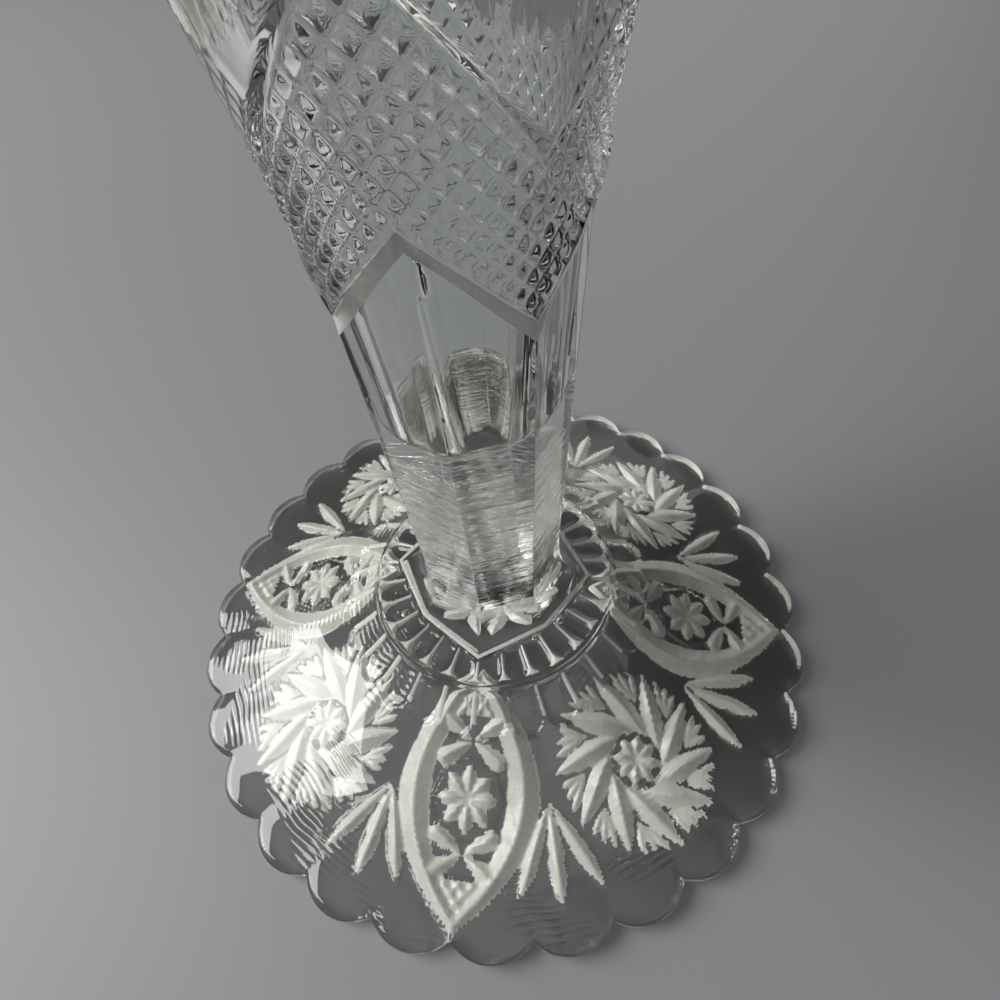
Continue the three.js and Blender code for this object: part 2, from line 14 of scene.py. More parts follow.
import bpy
import numpy as np
from mathutils import Euler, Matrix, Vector

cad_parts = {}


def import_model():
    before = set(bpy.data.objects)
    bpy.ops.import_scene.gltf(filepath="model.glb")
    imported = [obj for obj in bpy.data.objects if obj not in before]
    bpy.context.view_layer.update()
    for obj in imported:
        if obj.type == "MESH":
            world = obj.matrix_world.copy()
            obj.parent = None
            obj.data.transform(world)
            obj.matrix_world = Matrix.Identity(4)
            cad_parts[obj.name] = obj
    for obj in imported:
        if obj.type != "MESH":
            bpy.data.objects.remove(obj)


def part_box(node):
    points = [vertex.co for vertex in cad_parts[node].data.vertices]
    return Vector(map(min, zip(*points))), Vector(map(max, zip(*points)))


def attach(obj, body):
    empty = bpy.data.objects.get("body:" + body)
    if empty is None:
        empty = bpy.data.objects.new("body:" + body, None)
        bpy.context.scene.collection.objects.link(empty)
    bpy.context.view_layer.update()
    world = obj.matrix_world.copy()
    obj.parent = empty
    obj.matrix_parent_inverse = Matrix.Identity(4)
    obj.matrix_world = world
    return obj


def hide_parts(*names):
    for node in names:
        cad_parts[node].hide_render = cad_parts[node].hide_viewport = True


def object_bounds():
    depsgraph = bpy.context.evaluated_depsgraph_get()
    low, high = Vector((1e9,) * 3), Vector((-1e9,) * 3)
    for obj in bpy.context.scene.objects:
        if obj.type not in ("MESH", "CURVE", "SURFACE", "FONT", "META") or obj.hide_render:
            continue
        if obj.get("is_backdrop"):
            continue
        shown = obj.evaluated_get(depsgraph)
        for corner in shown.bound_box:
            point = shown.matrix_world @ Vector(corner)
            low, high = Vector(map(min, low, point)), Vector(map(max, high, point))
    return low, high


LOG = logging.getLogger("vase")
MM = 0.001
TURN = 2 * math.pi
FRONT = -TURN / 4  # one lens panel, one notch and one spreading corner of the stem face this way
FOLD = 4  # lens panels round the vase, with as many pinwheel columns between them
SECTOR = TURN / FOLD
FUSED_GAP = 0.3 * MM  # that the solids keep where glass is fused
CONTACT = 0.02 * MM  # and half of what the visual pieces keep there
PRESSED_SHARE = 0.5  # of full stipple: from here on a face shows the mould's satin surface
CROWN_SHARE = 0.9946  # of a scallop's crown: how far the foot reaches along X, where a notch lies

Place = tuple[np.ndarray | float, np.ndarray | float, np.ndarray | float]  # radius, height and stipple
Surface = Callable[[np.ndarray, np.ndarray], Place]  # from the angles and the rows' own values


# Formulas that several pieces share


def fold(angle: np.ndarray, axis: float, sector: float) -> np.ndarray:
    """The signed angle from the nearest of the axes that stand a sector apart."""
    return np.mod(angle - axis + sector / 2, sector) - sector / 2


def triangle_wave(value: np.ndarray) -> np.ndarray:
    """0 at whole numbers, 1 halfway between them, and straight in between."""
    return 2 * np.abs(value - np.round(value))


def smooth_step(low: float, high: float, value: np.ndarray) -> np.ndarray:
    """0 below low, 1 above high, and between them the cubic that is level at both ends."""
    share = np.clip((value - low) / (high - low), 0, 1)
    return share * share * (3 - 2 * share)


def mix(start: np.ndarray | float, end: np.ndarray | float, share: np.ndarray | float) -> np.ndarray:
    """The straight blend from start to end."""
    return start + (end - start) * share


def scoops(angle: np.ndarray, outward: np.ndarray, count: int) -> np.ndarray:
    """How deep a ring of scoops is, as a share: each is level across at its inner end and round at its outer.

    Args:
        angle: the angle round the axis.
        outward: the share of the way from the scoops' inner ends to their outer.
        count: how many scoops.

    Returns:
        The root of what a power of the way to the side and the square of the way past the middle leave of 1.
    """
    middle, fullness = 0.5, 2.4
    side = triangle_wave(count * (angle - FRONT) / TURN + 0.5)
    round_end = np.clip((outward - middle) / (1 - middle), 0, None)
    return np.sqrt(np.clip(1 - side**fullness - round_end**2, 0, 1))


def flute_border(angle: np.ndarray, flute: np.ndarray) -> np.ndarray:
    """The stipple of the borders between scoops.

    Args:
        angle: the angle round the axis.
        flute: how deep the scoops are there, as a share.

    Returns:
        A share that two cosines make uneven round the vase, less where a scoop is deeper, down to 0.
    """
    usual, uneven = 0.78, 0.22
    shallow, deep = 0.35, 0.85
    varied = usual + uneven * np.cos(3 * angle + 1) * np.cos(5 * angle)
    return varied * (1 - smooth_step(shallow, deep, flute))


def polar(radius: float, angle: float, middle: Sequence[float] = (0.0, 0.0)) -> tuple[float, float]:
    """The plan point at a radius and an angle from a middle."""
    return middle[0] + radius * math.cos(angle), middle[1] + radius * math.sin(angle)


# Cuts: what the mould pressed into a surface, each in a flat plan of its own panel


class Cut:
    """One shape pressed into the glass.

    Attributes:
        middle: the plan point that the cut lies round.
        reach: how far from the middle the cut may act.
    """

    middle: tuple[float, float]
    reach: float

    def press(self, x: np.ndarray, y: np.ndarray) -> tuple[np.ndarray, np.ndarray]:
        """Presses the cut alone.

        Args:
            x: the places along the panel.
            y: the places across it.

        Returns:
            How deep the cut is at each place, at most 0 outside it, and how stippled it is.
        """
        raise NotImplementedError


@dataclass(frozen=True)
class Leaf(Cut):
    """A V groove that comes to a point at both ends.

    Its half width is a quarter sine from each end to its fullest place, and its depth is its slope times
    the distance inside that outline, below the floor of a recess where it is cut into one.

    Attributes:
        start: its one point.
        end: its other.
        width: at the fullest place.
        slope: of its two facets.
        fullest: where that place is, as a share of the way from start to end.
        stipple: how satin its facets are.
        floor: the depth of the recess that it is cut into.
    """

    start: tuple[float, float]
    end: tuple[float, float]
    width: float
    slope: float = 0.8
    fullest: float = 0.5
    stipple: float = 1.0
    floor: float = 0.0

    @property
    def length(self) -> float:
        """From point to point."""
        return math.dist(self.start, self.end)

    @property
    def middle(self) -> tuple[float, float]:
        """Halfway between the points."""
        return (self.start[0] + self.end[0]) / 2, (self.start[1] + self.end[1]) / 2

    @property
    def reach(self) -> float:
        """Half the length, and the half width besides."""
        return (self.length + self.width) / 2

    def press(self, x: np.ndarray, y: np.ndarray) -> tuple[np.ndarray, np.ndarray]:
        """Presses the two facets.

        Args:
            x: the places along the panel.
            y: the places across it.

        Returns:
            The slope times the distance inside the leaf's outline, and the floor's depth; the stipple.
        """
        run = ((self.end[0] - self.start[0]) / self.length, (self.end[1] - self.start[1]) / self.length)
        share = ((x - self.start[0]) * run[0] + (y - self.start[1]) * run[1]) / self.length
        across = (y - self.start[1]) * run[0] - (x - self.start[0]) * run[1]
        from_end = np.where(share < self.fullest, share / self.fullest, (1 - share) / (1 - self.fullest))
        half = self.width / 2 * np.sin(np.clip(from_end, 0, 1) * TURN / 4)
        depth = self.slope * (half - np.abs(across))
        return np.where((from_end > 0) & (depth > 0), depth + self.floor, 0), np.full(x.shape, self.stipple)


@dataclass(frozen=True)
class Recess(Cut):
    """A flat-floored hollow with as many straight sides as stated, and steep walls.

    Attributes:
        middle: its plan point.
        radius: to the middle of a side.
        sides: how many.
        depth: of the floor.
        turn: the direction of one side.
        wall: the slope of the walls.
        stipple: how satin it is.
    """

    middle: tuple[float, float]
    radius: float
    sides: int
    depth: float
    turn: float = 0.0
    wall: float = 1.2
    stipple: float = 0.0

    @property
    def reach(self) -> float:
        """To the corners."""
        return self.radius / math.cos(TURN / 2 / self.sides)

    def press(self, x: np.ndarray, y: np.ndarray) -> tuple[np.ndarray, np.ndarray]:
        """Presses the hollow.

        Args:
            x: the places along the panel.
            y: the places across it.

        Returns:
            The wall's slope times the distance inside the nearest side, to the floor; the stipple.
        """
        dx, dy = x - self.middle[0], y - self.middle[1]
        around = fold(np.arctan2(dy, dx), self.turn, TURN / self.sides)
        inside = self.radius - np.hypot(dx, dy) * np.cos(around)
        return np.clip(inside * self.wall, 0, self.depth), np.full(x.shape, self.stipple)


@dataclass(frozen=True)
class Lens:
    """The outlines of a lens panel: parabolas that close at both of its points.

    Attributes:
        start: the lower or inner point's place along the panel.
        end: the upper or outer point's.
        half_width: from the axis to the border's outside, halfway along.
        facet: how wide each of the border's two facets is.
    """

    start: float
    end: float
    half_width: float
    facet: float

    def outline(self, along: np.ndarray, facets: int) -> np.ndarray:
        """One of the panel's outlines.

        Args:
            along: the places along the panel.
            facets: how many of the border's facets lie outside it.

        Returns:
            The half width, which falls by the square of the way to the points, and is negative past them.
        """
        shrink_each = 0.07
        middle, half_length = (self.start + self.end) / 2, (self.end - self.start) / 2
        shrink = 1 - shrink_each * facets
        share = (along - middle) / (half_length * shrink)
        return (self.half_width - facets * self.facet) * (1 - share * share)


@dataclass(frozen=True)
class Border(Cut):
    """The lens panel's border: one long V groove on each side of the panel.

    Attributes:
        lens: the panel's outlines.
        depth: of the groove's keel.
    """

    lens: Lens
    depth: float

    @property
    def middle(self) -> tuple[float, float]:
        """The panel's own middle."""
        return (self.lens.start + self.lens.end) / 2, 0.0

    @property
    def reach(self) -> float:
        """To the panel's points."""
        return (self.lens.end - self.lens.start) / 2

    def press(self, x: np.ndarray, y: np.ndarray) -> tuple[np.ndarray, np.ndarray]:
        """Presses both grooves.

        Args:
            x: the places along the panel.
            y: the places across it.

        Returns:
            The depth, which falls straight from the keel to the outer and inner outlines; full stipple.
        """
        outer, keel, inner = (self.lens.outline(x, facets) for facets in range(3))
        across = np.abs(y)
        outside = (outer - across) / np.maximum(outer - keel, MM / 100)
        inside = (across - inner) / np.maximum(keel - inner, MM / 100)
        return self.depth * np.where(across > keel, outside, inside), np.ones(x.shape)


@dataclass(frozen=True)
class Hatch(Cut):
    """Crossing V grooves that leave small pyramids.

    Attributes:
        lens: the outlines of the panel that it fills.
        start: where it begins, along the panel.
        end: where it ends.
        pitch: from one groove to the next.
        depth: of the grooves.
    """

    lens: Lens
    start: float
    end: float
    pitch: float
    depth: float

    @property
    def middle(self) -> tuple[float, float]:
        """Halfway along the stretch."""
        return (self.start + self.end) / 2, 0.0

    @property
    def reach(self) -> float:
        """To the corners of the stretch."""
        return math.hypot((self.end - self.start) / 2, self.lens.half_width)

    def press(self, x: np.ndarray, y: np.ndarray) -> tuple[np.ndarray, np.ndarray]:
        """Presses both sets of grooves.

        Args:
            x: the places along the panel.
            y: the places across it.

        Returns:
            Full depth along the grooves, and none at the points between them; full stipple.
        """
        diagonal = self.pitch * math.sqrt(2)
        nearer = np.minimum(triangle_wave((x + y) / diagonal), triangle_wave((x - y) / diagonal))
        within = (x > self.start) & (x < self.end) & (np.abs(y) < self.lens.outline(x, 2))
        return np.where(within, self.depth * (1 - nearer), 0), np.ones(x.shape)


def carve(cuts: Sequence[Cut], x: np.ndarray, y: np.ndarray) -> tuple[np.ndarray, np.ndarray]:
    """Presses cuts into a plan, where the deepest one counts.

    Args:
        cuts: the shapes to press.
        x: the places along the panel.
        y: the places across it.

    Returns:
        The depth and the stipple at each place.
    """
    depth, stipple = np.zeros(x.shape), np.zeros(x.shape)
    for cut in cuts:
        near = np.hypot(x - cut.middle[0], y - cut.middle[1]) < cut.reach
        pressed, grain = cut.press(x[near], y[near])
        deeper = pressed > depth[near]
        depth[near] = np.where(deeper, pressed, depth[near])
        stipple[near] = np.where(deeper, grain, stipple[near])
    return depth, stipple


def star(
    middle: tuple[float, float],
    radius: float,
    rays: int,
    width: float,
    slope: float = 0.85,
    floor: float = 0.0,
) -> list[Leaf]:
    """Leaves that spread evenly from a middle, the first along the panel.

    Args:
        middle: the plan point that they spread from.
        radius: to their tips.
        rays: how many.
        width: of each.
        slope: of their facets.
        floor: the depth of the recess that they are cut into.

    Returns:
        The leaves.
    """
    fullest = 0.62
    tips = [polar(radius, TURN * i / rays, middle) for i in range(rays)]
    return [Leaf(middle, tip, width, slope, fullest, floor=floor) for tip in tips]


@dataclass(frozen=True)
class Pinwheel:
    """A daisy in a sunk hub, blades that leave the hub at a slant, and fine leaves between their tips.

    Attributes:
        middle: its plan point.
        radius: to the blades' tips.
        blades: how many.
        hub: the hub's share of the radius.
        sweep: how far round the middle a blade turns on its way out.
        blade_width: a blade's share of the radius.
        blade_slope: how steep a blade's two facets are.
        blade_fullest: where along a blade it is widest.
        blade_start: the radius that blades start at, as a share of the hub's.
        petals: how many the daisy has.
        fine_leaves: their places from one blade's tip to the next, as shares.
        hub_depth: how deep the hub is sunk.
    """

    middle: tuple[float, float]
    radius: float
    blades: int = 10
    hub: float = 0.3
    sweep: float = math.radians(62)
    blade_width: float = 0.2
    blade_slope: float = 0.75
    blade_fullest: float = 0.5
    blade_start: float = 1.22
    petals: int = 8
    fine_leaves: tuple[float, ...] = (0.24, 0.48, 0.72)
    hub_depth: float = 0.45 * MM

    def cuts(self) -> list[Cut]:
        """Lays out the pinwheel.

        Returns:
            The hub, its petals, the blades and the fine leaves.
        """
        hub = self.hub * self.radius
        found: list[Cut] = [Recess(self.middle, hub, 24, self.hub_depth)]
        petal_reach, petal_width, petal_slope = hub * 0.96, hub * 0.46, 0.95
        found += star(self.middle, petal_reach, self.petals, petal_width, petal_slope, self.hub_depth)
        ring = hub * self.blade_start
        crotch_radius, leaf_reach = self.radius * 0.63, self.radius * 0.97
        leaf_width, leaf_slope, leaf_fullest = self.radius * 0.085, 0.9, 0.66
        step = TURN / self.blades
        for blade in range(self.blades):
            root, tip = blade * step, blade * step + self.sweep
            blade_root, blade_end = polar(ring, root, self.middle), polar(self.radius, tip, self.middle)
            width = self.blade_width * self.radius
            found.append(Leaf(blade_root, blade_end, width, self.blade_slope, self.blade_fullest))
            crotch = polar(crotch_radius, tip + step * 0.1, self.middle)
            for share in self.fine_leaves:
                end = polar(leaf_reach, tip + step * share, self.middle)
                found.append(Leaf(crotch, end, leaf_width, leaf_slope, leaf_fullest))
        return found


@dataclass(frozen=True)
class LensPanel:
    """A lens panel's border and what fills it: stars in sunk octagons, crosses and cross-hatched ends.

    Attributes:
        lens: its outlines.
        stars: the places along of its stars.
        crosses: the places along of its crosses.
        hatched: the stretches that are cross-hatched.
        star_radius: to the rays' tips.
        depth: of the border's keel.
        star_depth: how deep the octagons are sunk.
        cross_angle: from the line across the panel to a cross's arms.
        hatch_pitch: from one groove of the hatching to the next.
        hatch_depth: how deep those grooves are.
    """

    lens: Lens
    stars: tuple[float, ...]
    crosses: tuple[float, ...]
    hatched: tuple[tuple[float, float], ...]
    star_radius: float
    depth: float = 2.0 * MM
    star_depth: float = 0.4 * MM
    cross_angle: float = math.radians(31)
    hatch_pitch: float = 2.3 * MM
    hatch_depth: float = 1.1 * MM

    def cuts(self) -> list[Cut]:
        """Lays out the panel.

        Returns:
            The border, the hatching, the octagons with their stars, and the crosses.
        """
        found: list[Cut] = [Border(self.lens, self.depth)]
        found += [Hatch(self.lens, *stretch, self.hatch_pitch, self.hatch_depth) for stretch in self.hatched]
        octagon, ray_reach, ray_width = (self.star_radius * share for share in (1.36, 1.2, 0.56))
        slope = 0.95
        for along in self.stars:
            found.append(Recess((along, 0.0), octagon, 8, self.star_depth, TURN / 16))
            found += star((along, 0.0), ray_reach, 8, ray_width, slope, self.star_depth)
        arm_reach, arm_width = (self.star_radius * share for share in (1.55, 0.72))
        arm_fullest = 0.85
        for along in self.crosses:
            for side in (-1, 1):
                for slant in (-1, 1):
                    angle = side * (TURN / 4 - slant * self.cross_angle)
                    end = polar(arm_reach, angle, (along, 0.0))
                    found.append(Leaf((along, 0.0), end, arm_width, slope, arm_fullest))
        return found


def fan(root: tuple[float, float], tips: Sequence[tuple[float, float]], width: float) -> list[Leaf]:
    """Leaves that spread from one root to several tips, cut a little less satin than the rest."""
    slope, fullest, stipple = 0.95, 0.62, 0.8
    return [Leaf(root, tip, width, slope, fullest, stipple) for tip in tips]


# Skins: closed surfaces made of rings


@dataclass(frozen=True)
class Patch:
    """Rings that one formula gives.

    Attributes:
        surface: gives radius, height and stipple for arrays of angles and of row values.
        rows: the formula's second parameter, a value for each ring.
        count: how many points a ring has.
        fused: whether the patch lies against another piece of the vase.
    """

    surface: Surface
    rows: np.ndarray
    count: int
    fused: bool = False

    def points(self, angle: np.ndarray, row: np.ndarray) -> tuple[np.ndarray, np.ndarray]:
        """Places the patch's formula on the axis.

        Args:
            angle: a line of angles.
            row: a column of row values.

        Returns:
            The surface's points, and their stipple.
        """
        angle, row = np.broadcast_arrays(angle[None, :], row[:, None])
        radius, height, stipple = np.broadcast_arrays(*self.surface(angle, row))
        return np.stack([radius * np.cos(angle), radius * np.sin(angle), height], axis=-1), stipple


def level_face(height: float) -> Surface:
    """Makes a flat face.

    Args:
        height: where it lies.

    Returns:
        Its formula, whose rows are radii.
    """

    def face(angle: np.ndarray, row: np.ndarray) -> Place:
        """The row's own radius, at that height."""
        return row, height, 0.0

    return face


def upright_wall(radius: float) -> Surface:
    """Makes a round wall.

    Args:
        radius: where it stands.

    Returns:
        Its formula, whose rows are heights.
    """

    def wall(angle: np.ndarray, row: np.ndarray) -> Place:
        """The row's own height, at that radius."""
        return radius, row, 0.0

    return wall


@dataclass
class Skin:
    """A mesh under construction.

    Attributes:
        vertices: the points, in stretches as they were added.
        stipples: how satin the glass is at each.
        triangles: rows of three vertex numbers, in stretches too.
        fused: which of them lie against another piece.
        size: how many vertices there are.
    """

    vertices: list[np.ndarray] = field(default_factory=list)
    stipples: list[np.ndarray] = field(default_factory=list)
    triangles: list[np.ndarray] = field(default_factory=list)
    fused: list[np.ndarray] = field(default_factory=list)
    size: int = 0

    def add_vertices(self, points: np.ndarray, stipple: np.ndarray) -> int:
        """Adds points.

        Args:
            points: an array of them, of any shape.
            stipple: their stipple.

        Returns:
            The number of the first.
        """
        first = self.size
        self.vertices.append(points.reshape(-1, 3))
        self.stipples.append(np.broadcast_to(stipple, points.shape[:-1]).ravel())
        self.size += len(self.vertices[-1])
        return first

    def add_triangles(self, triangles: np.ndarray, fused: bool) -> None:
        """Adds triangles, given as rows of three vertex numbers."""
        self.triangles.append(triangles)
        self.fused.append(np.full(len(triangles), fused))

    def add_pole(self, height: float, first: int, count: int, lower: bool, fused: bool) -> None:
        """Closes a ring with a fan of triangles to a point on the axis.

        Args:
            height: of the point.
            first: the number of the ring's first vertex.
            count: how many vertices the ring has.
            lower: whether the point closes the lower end.
            fused: whether the fan lies against another piece.
        """
        pole = self.add_vertices(np.array([[0.0, 0.0, height]]), np.zeros(1))
        here = first + np.arange(count)
        after = first + (np.arange(count) + 1) % count
        pair = (after, here) if lower else (here, after)
        self.add_triangles(np.stack([np.full(count, pole), *pair], axis=-1), fused)

    def join(self, lower: int, lower_count: int, upper: int, upper_count: int, fused: bool) -> None:
        """Joins two rings of any two counts.

        Going round, the ring whose next stretch has the nearer middle gives the next triangle.

        Args:
            lower: the number of the lower ring's first vertex.
            lower_count: how many vertices that ring has.
            upper: the number of the upper ring's first vertex.
            upper_count: how many vertices that ring has.
            fused: whether the joint lies against another piece.
        """
        low_middles = (np.arange(lower_count) + 0.5) / lower_count
        high_middles = (np.arange(upper_count) + 0.5) / upper_count
        i, k = np.arange(lower_count), np.arange(upper_count)
        across = upper + np.searchsorted(high_middles, low_middles, "left") % upper_count
        rising = np.stack([lower + i, lower + (i + 1) % lower_count, across], axis=-1)
        below = lower + np.searchsorted(low_middles, high_middles, "right") % lower_count
        falling = np.stack([below, upper + (k + 1) % upper_count, upper + k], axis=-1)
        self.add_triangles(np.concatenate([rising, falling]), fused)

    def add_patch(self, patch: Patch) -> tuple[int, int]:
        """Adds a patch's rings, and between them cells cut along the diagonal that lies nearer the surface.

        Args:
            patch: the rings to add.

        Returns:
            The numbers of the first vertex of the lowest ring and of the highest.
        """
        step = TURN / patch.count
        angle = FRONT + step * np.arange(patch.count)
        points, stipple = patch.points(angle, patch.rows)
        first = self.add_vertices(points, stipple)
        middle, _ = patch.points(angle + step / 2, (patch.rows[1:] + patch.rows[:-1]) / 2)
        lower, upper = points[:-1], points[1:]
        lower_next, upper_next = np.roll(lower, -1, axis=1), np.roll(upper, -1, axis=1)
        rising = np.linalg.norm((lower + upper_next) / 2 - middle, axis=-1)
        falling = np.linalg.norm((lower_next + upper) / 2 - middle, axis=-1)
        number = first + np.arange(points[..., 0].size).reshape(points.shape[:2])
        a, d = number[:-1], number[1:]
        b, c = np.roll(a, -1, axis=1), np.roll(d, -1, axis=1)
        up = (rising < falling).ravel()
        a, b, c, d = (corner.ravel() for corner in (a, b, c, d))
        one = np.stack([a, b, np.where(up, c, d)], axis=-1)
        two = np.stack([np.where(up, a, b), c, d], axis=-1)
        self.add_triangles(np.concatenate([one, two]), patch.fused)
        return first, number[-1, 0]

    def grow(self, lower_pole: float, patches: Sequence[Patch], upper_pole: float) -> None:
        """Makes a closed skin.

        Args:
            lower_pole: the height on the axis at which it starts.
            patches: its rings, in their order.
            upper_pole: the height on the axis at which it ends.
        """
        last = None
        for patch in patches:
            first, top = self.add_patch(patch)
            if last is None:
                self.add_pole(lower_pole, first, patch.count, True, patch.fused)
            else:
                self.join(last[0], last[1], first, patch.count, patch.fused)
            last = (top, patch.count)
        self.add_pole(upper_pole, last[0], last[1], False, patches[-1].fused)

    def add_bubble(self, middle: Sequence[float], radius: float, half_height: float) -> None:
        """Adds a flattened ball of a hollow, whose faces look into the bubble, out of the glass.

        Args:
            middle: its middle.
            radius: across.
            half_height: from its middle to its top.
        """
        levels, count, last_level = 7, 20, 0.85
        turns = np.linspace(-last_level, last_level, levels)
        angle = TURN * np.arange(count) / count
        rings = np.stack(
            [
                middle[0] + radius * np.outer(np.cos(turns * TURN / 4), np.cos(angle)),
                middle[1] + radius * np.outer(np.cos(turns * TURN / 4), np.sin(angle)),
                np.broadcast_to(middle[2] + half_height * np.sin(turns * TURN / 4)[:, None], (levels, count)),
            ],
            axis=-1,
        )
        first = self.add_vertices(rings, np.zeros(rings.shape[:2]))
        number = first + np.arange(levels * count).reshape(levels, count)
        a, d = number[:-1].ravel(), number[1:].ravel()
        b, c = np.roll(number[:-1], -1, 1).ravel(), np.roll(number[1:], -1, 1).ravel()
        self.add_triangles(np.concatenate([np.stack([a, d, c], -1), np.stack([a, c, b], -1)]), False)
        for ring, height, lower in ((number[0], -half_height, True), (number[-1], half_height, False)):
            pole = self.add_vertices(np.array([[middle[0], middle[1], middle[2] + height]]), np.zeros(1))
            pair = (ring, np.roll(ring, -1)) if lower else (np.roll(ring, -1), ring)
            self.add_triangles(np.stack([np.full(count, pole), *pair], axis=-1), False)

    def to_object(self, name: str, materials: Sequence[bpy.types.Material]) -> bpy.types.Object:
        """Makes the Blender object.

        Args:
            name: the piece's name.
            materials: the polished glass, that of faces fused to another piece, and the pressed glass.

        Returns:
            The object, smooth, with its stipple as a point attribute.
        """
        mesh = bpy.data.meshes.new(name)
        triangles = np.concatenate(self.triangles)
        mesh.from_pydata(np.concatenate(self.vertices).tolist(), [], triangles.tolist())
        for material in materials:
            mesh.materials.append(material)
        stipples, fused = np.concatenate(self.stipples), np.concatenate(self.fused)
        pressed = stipples[triangles].mean(axis=1) > PRESSED_SHARE
        mesh.polygons.foreach_set("material_index", np.where(fused, 1, 2 * pressed).astype(np.int32))
        mesh.polygons.foreach_set("use_smooth", np.ones(len(triangles), bool))
        stipple = mesh.attributes.new("stipple", "FLOAT", "POINT")
        stipple.data.foreach_set("value", stipples.astype(np.float32))
        mesh.update()
        made = bpy.data.objects.new(name, mesh)
        bpy.context.scene.collection.objects.link(made)
        LOG.info("%s: %d triangles", name, len(triangles))
        return made


# Finishes


class Socket(Enum):
    """The kinds of socket that the shared node groups have."""

    NUMBER = "NodeSocketFloat"
    VECTOR = "NodeSocketVector"


@dataclass(frozen=True)
class GroupBuilder:
    """A shader node group under construction, with short calls for its nodes and links.

    Attributes:
        tree: the group's own tree.
    """

    tree: bpy.types.NodeTree

    @classmethod
    def start(cls, name: str, inputs: dict[str, Socket], outputs: dict[str, Socket]) -> "GroupBuilder":
        """Makes an empty group.

        Args:
            name: the group's name.
            inputs: its sockets for what it is given, by name.
            outputs: its sockets for what it puts out.

        Returns:
            The builder of that group.
        """
        tree = bpy.data.node_groups.new(name, "ShaderNodeTree")
        for in_out, sockets in (("INPUT", inputs), ("OUTPUT", outputs)):
            for socket, kind in sockets.items():
                tree.interface.new_socket(name=socket, in_out=in_out, socket_type=kind.value)
        tree.nodes.new("NodeGroupInput")
        tree.nodes.new("NodeGroupOutput")
        return cls(tree)

    @property
    def given(self) -> bpy.types.NodeOutputs:
        """The group's inputs, as its own nodes see them."""
        return self.tree.nodes["Group Input"].outputs

    @property
    def result(self) -> bpy.types.NodeInputs:
        """The group's outputs, as its own nodes see them."""
        return self.tree.nodes["Group Output"].inputs

    def node(self, kind: str, settings: dict[str, object], values: dict[str, object]) -> bpy.types.Node:
        """Adds a node.

        Args:
            kind: the node's type.
            settings: its properties.
            values: for each input, by name or number, a value to set or a socket to link.

        Returns:
            The node.
        """
        made = self.tree.nodes.new(kind)
        for name, value in settings.items():
            setattr(made, name, value)
        for name, value in values.items():
            socket = made.inputs[int(name)] if name.isdigit() else made.inputs[name]
            if isinstance(value, bpy.types.NodeSocket):
                self.tree.links.new(value, socket)
            else:
                socket.default_value = value
        return made

    def math(self, operation: str, first: object, second: object) -> bpy.types.NodeSocket:
        """Adds a math node and returns its result."""
        return self.node("ShaderNodeMath", {"operation": operation}, {"0": first, "1": second}).outputs[0]


def pressed_grain_group() -> bpy.types.NodeTree:
    """The fine grain that a mould leaves in pressed glass: a rougher, slightly pebbled surface.

    Returns:
        The group, which puts out roughness and height.
    """
    group = GroupBuilder.start(
        "pressed_grain",
        {
            "Vector": Socket.VECTOR,
            "Mask": Socket.NUMBER,
            "Grain Scale": Socket.NUMBER,
            "Grain Height": Socket.NUMBER,
            "Polished Roughness": Socket.NUMBER,
            "Stippled Roughness": Socket.NUMBER,
        },
        {"Roughness": Socket.NUMBER, "Height": Socket.NUMBER},
    )
    given = group.given
    noise_inputs = {"Vector": given["Vector"], "Scale": given["Grain Scale"], "Detail": 2.0, "Roughness": 0.6}
    grain = group.node("ShaderNodeTexNoise", {}, noise_inputs).outputs["Fac"]
    patch_scale, worn_least = 260.0, 0.25
    patch_inputs = {"Vector": given["Vector"], "Scale": patch_scale, "Detail": 1.0}
    patchy = group.node("ShaderNodeTexNoise", {}, patch_inputs).outputs["Fac"]
    worn_inputs = {"Value": patchy, "From Min": 0.35, "From Max": 0.6, "To Min": worn_least, "To Max": 1.0}
    worn = group.node("ShaderNodeMapRange", {}, worn_inputs)
    masked = group.math("MULTIPLY", given["Mask"], worn.outputs["Result"])
    height = group.math("MULTIPLY", group.math("MULTIPLY", grain, masked), given["Grain Height"])
    rise = group.math("SUBTRACT", given["Stippled Roughness"], given["Polished Roughness"])
    roughness = group.math("ADD", given["Polished Roughness"], group.math("MULTIPLY", masked, rise))
    group.tree.links.new(roughness, group.result["Roughness"])
    group.tree.links.new(height, group.result["Height"])
    return group.tree


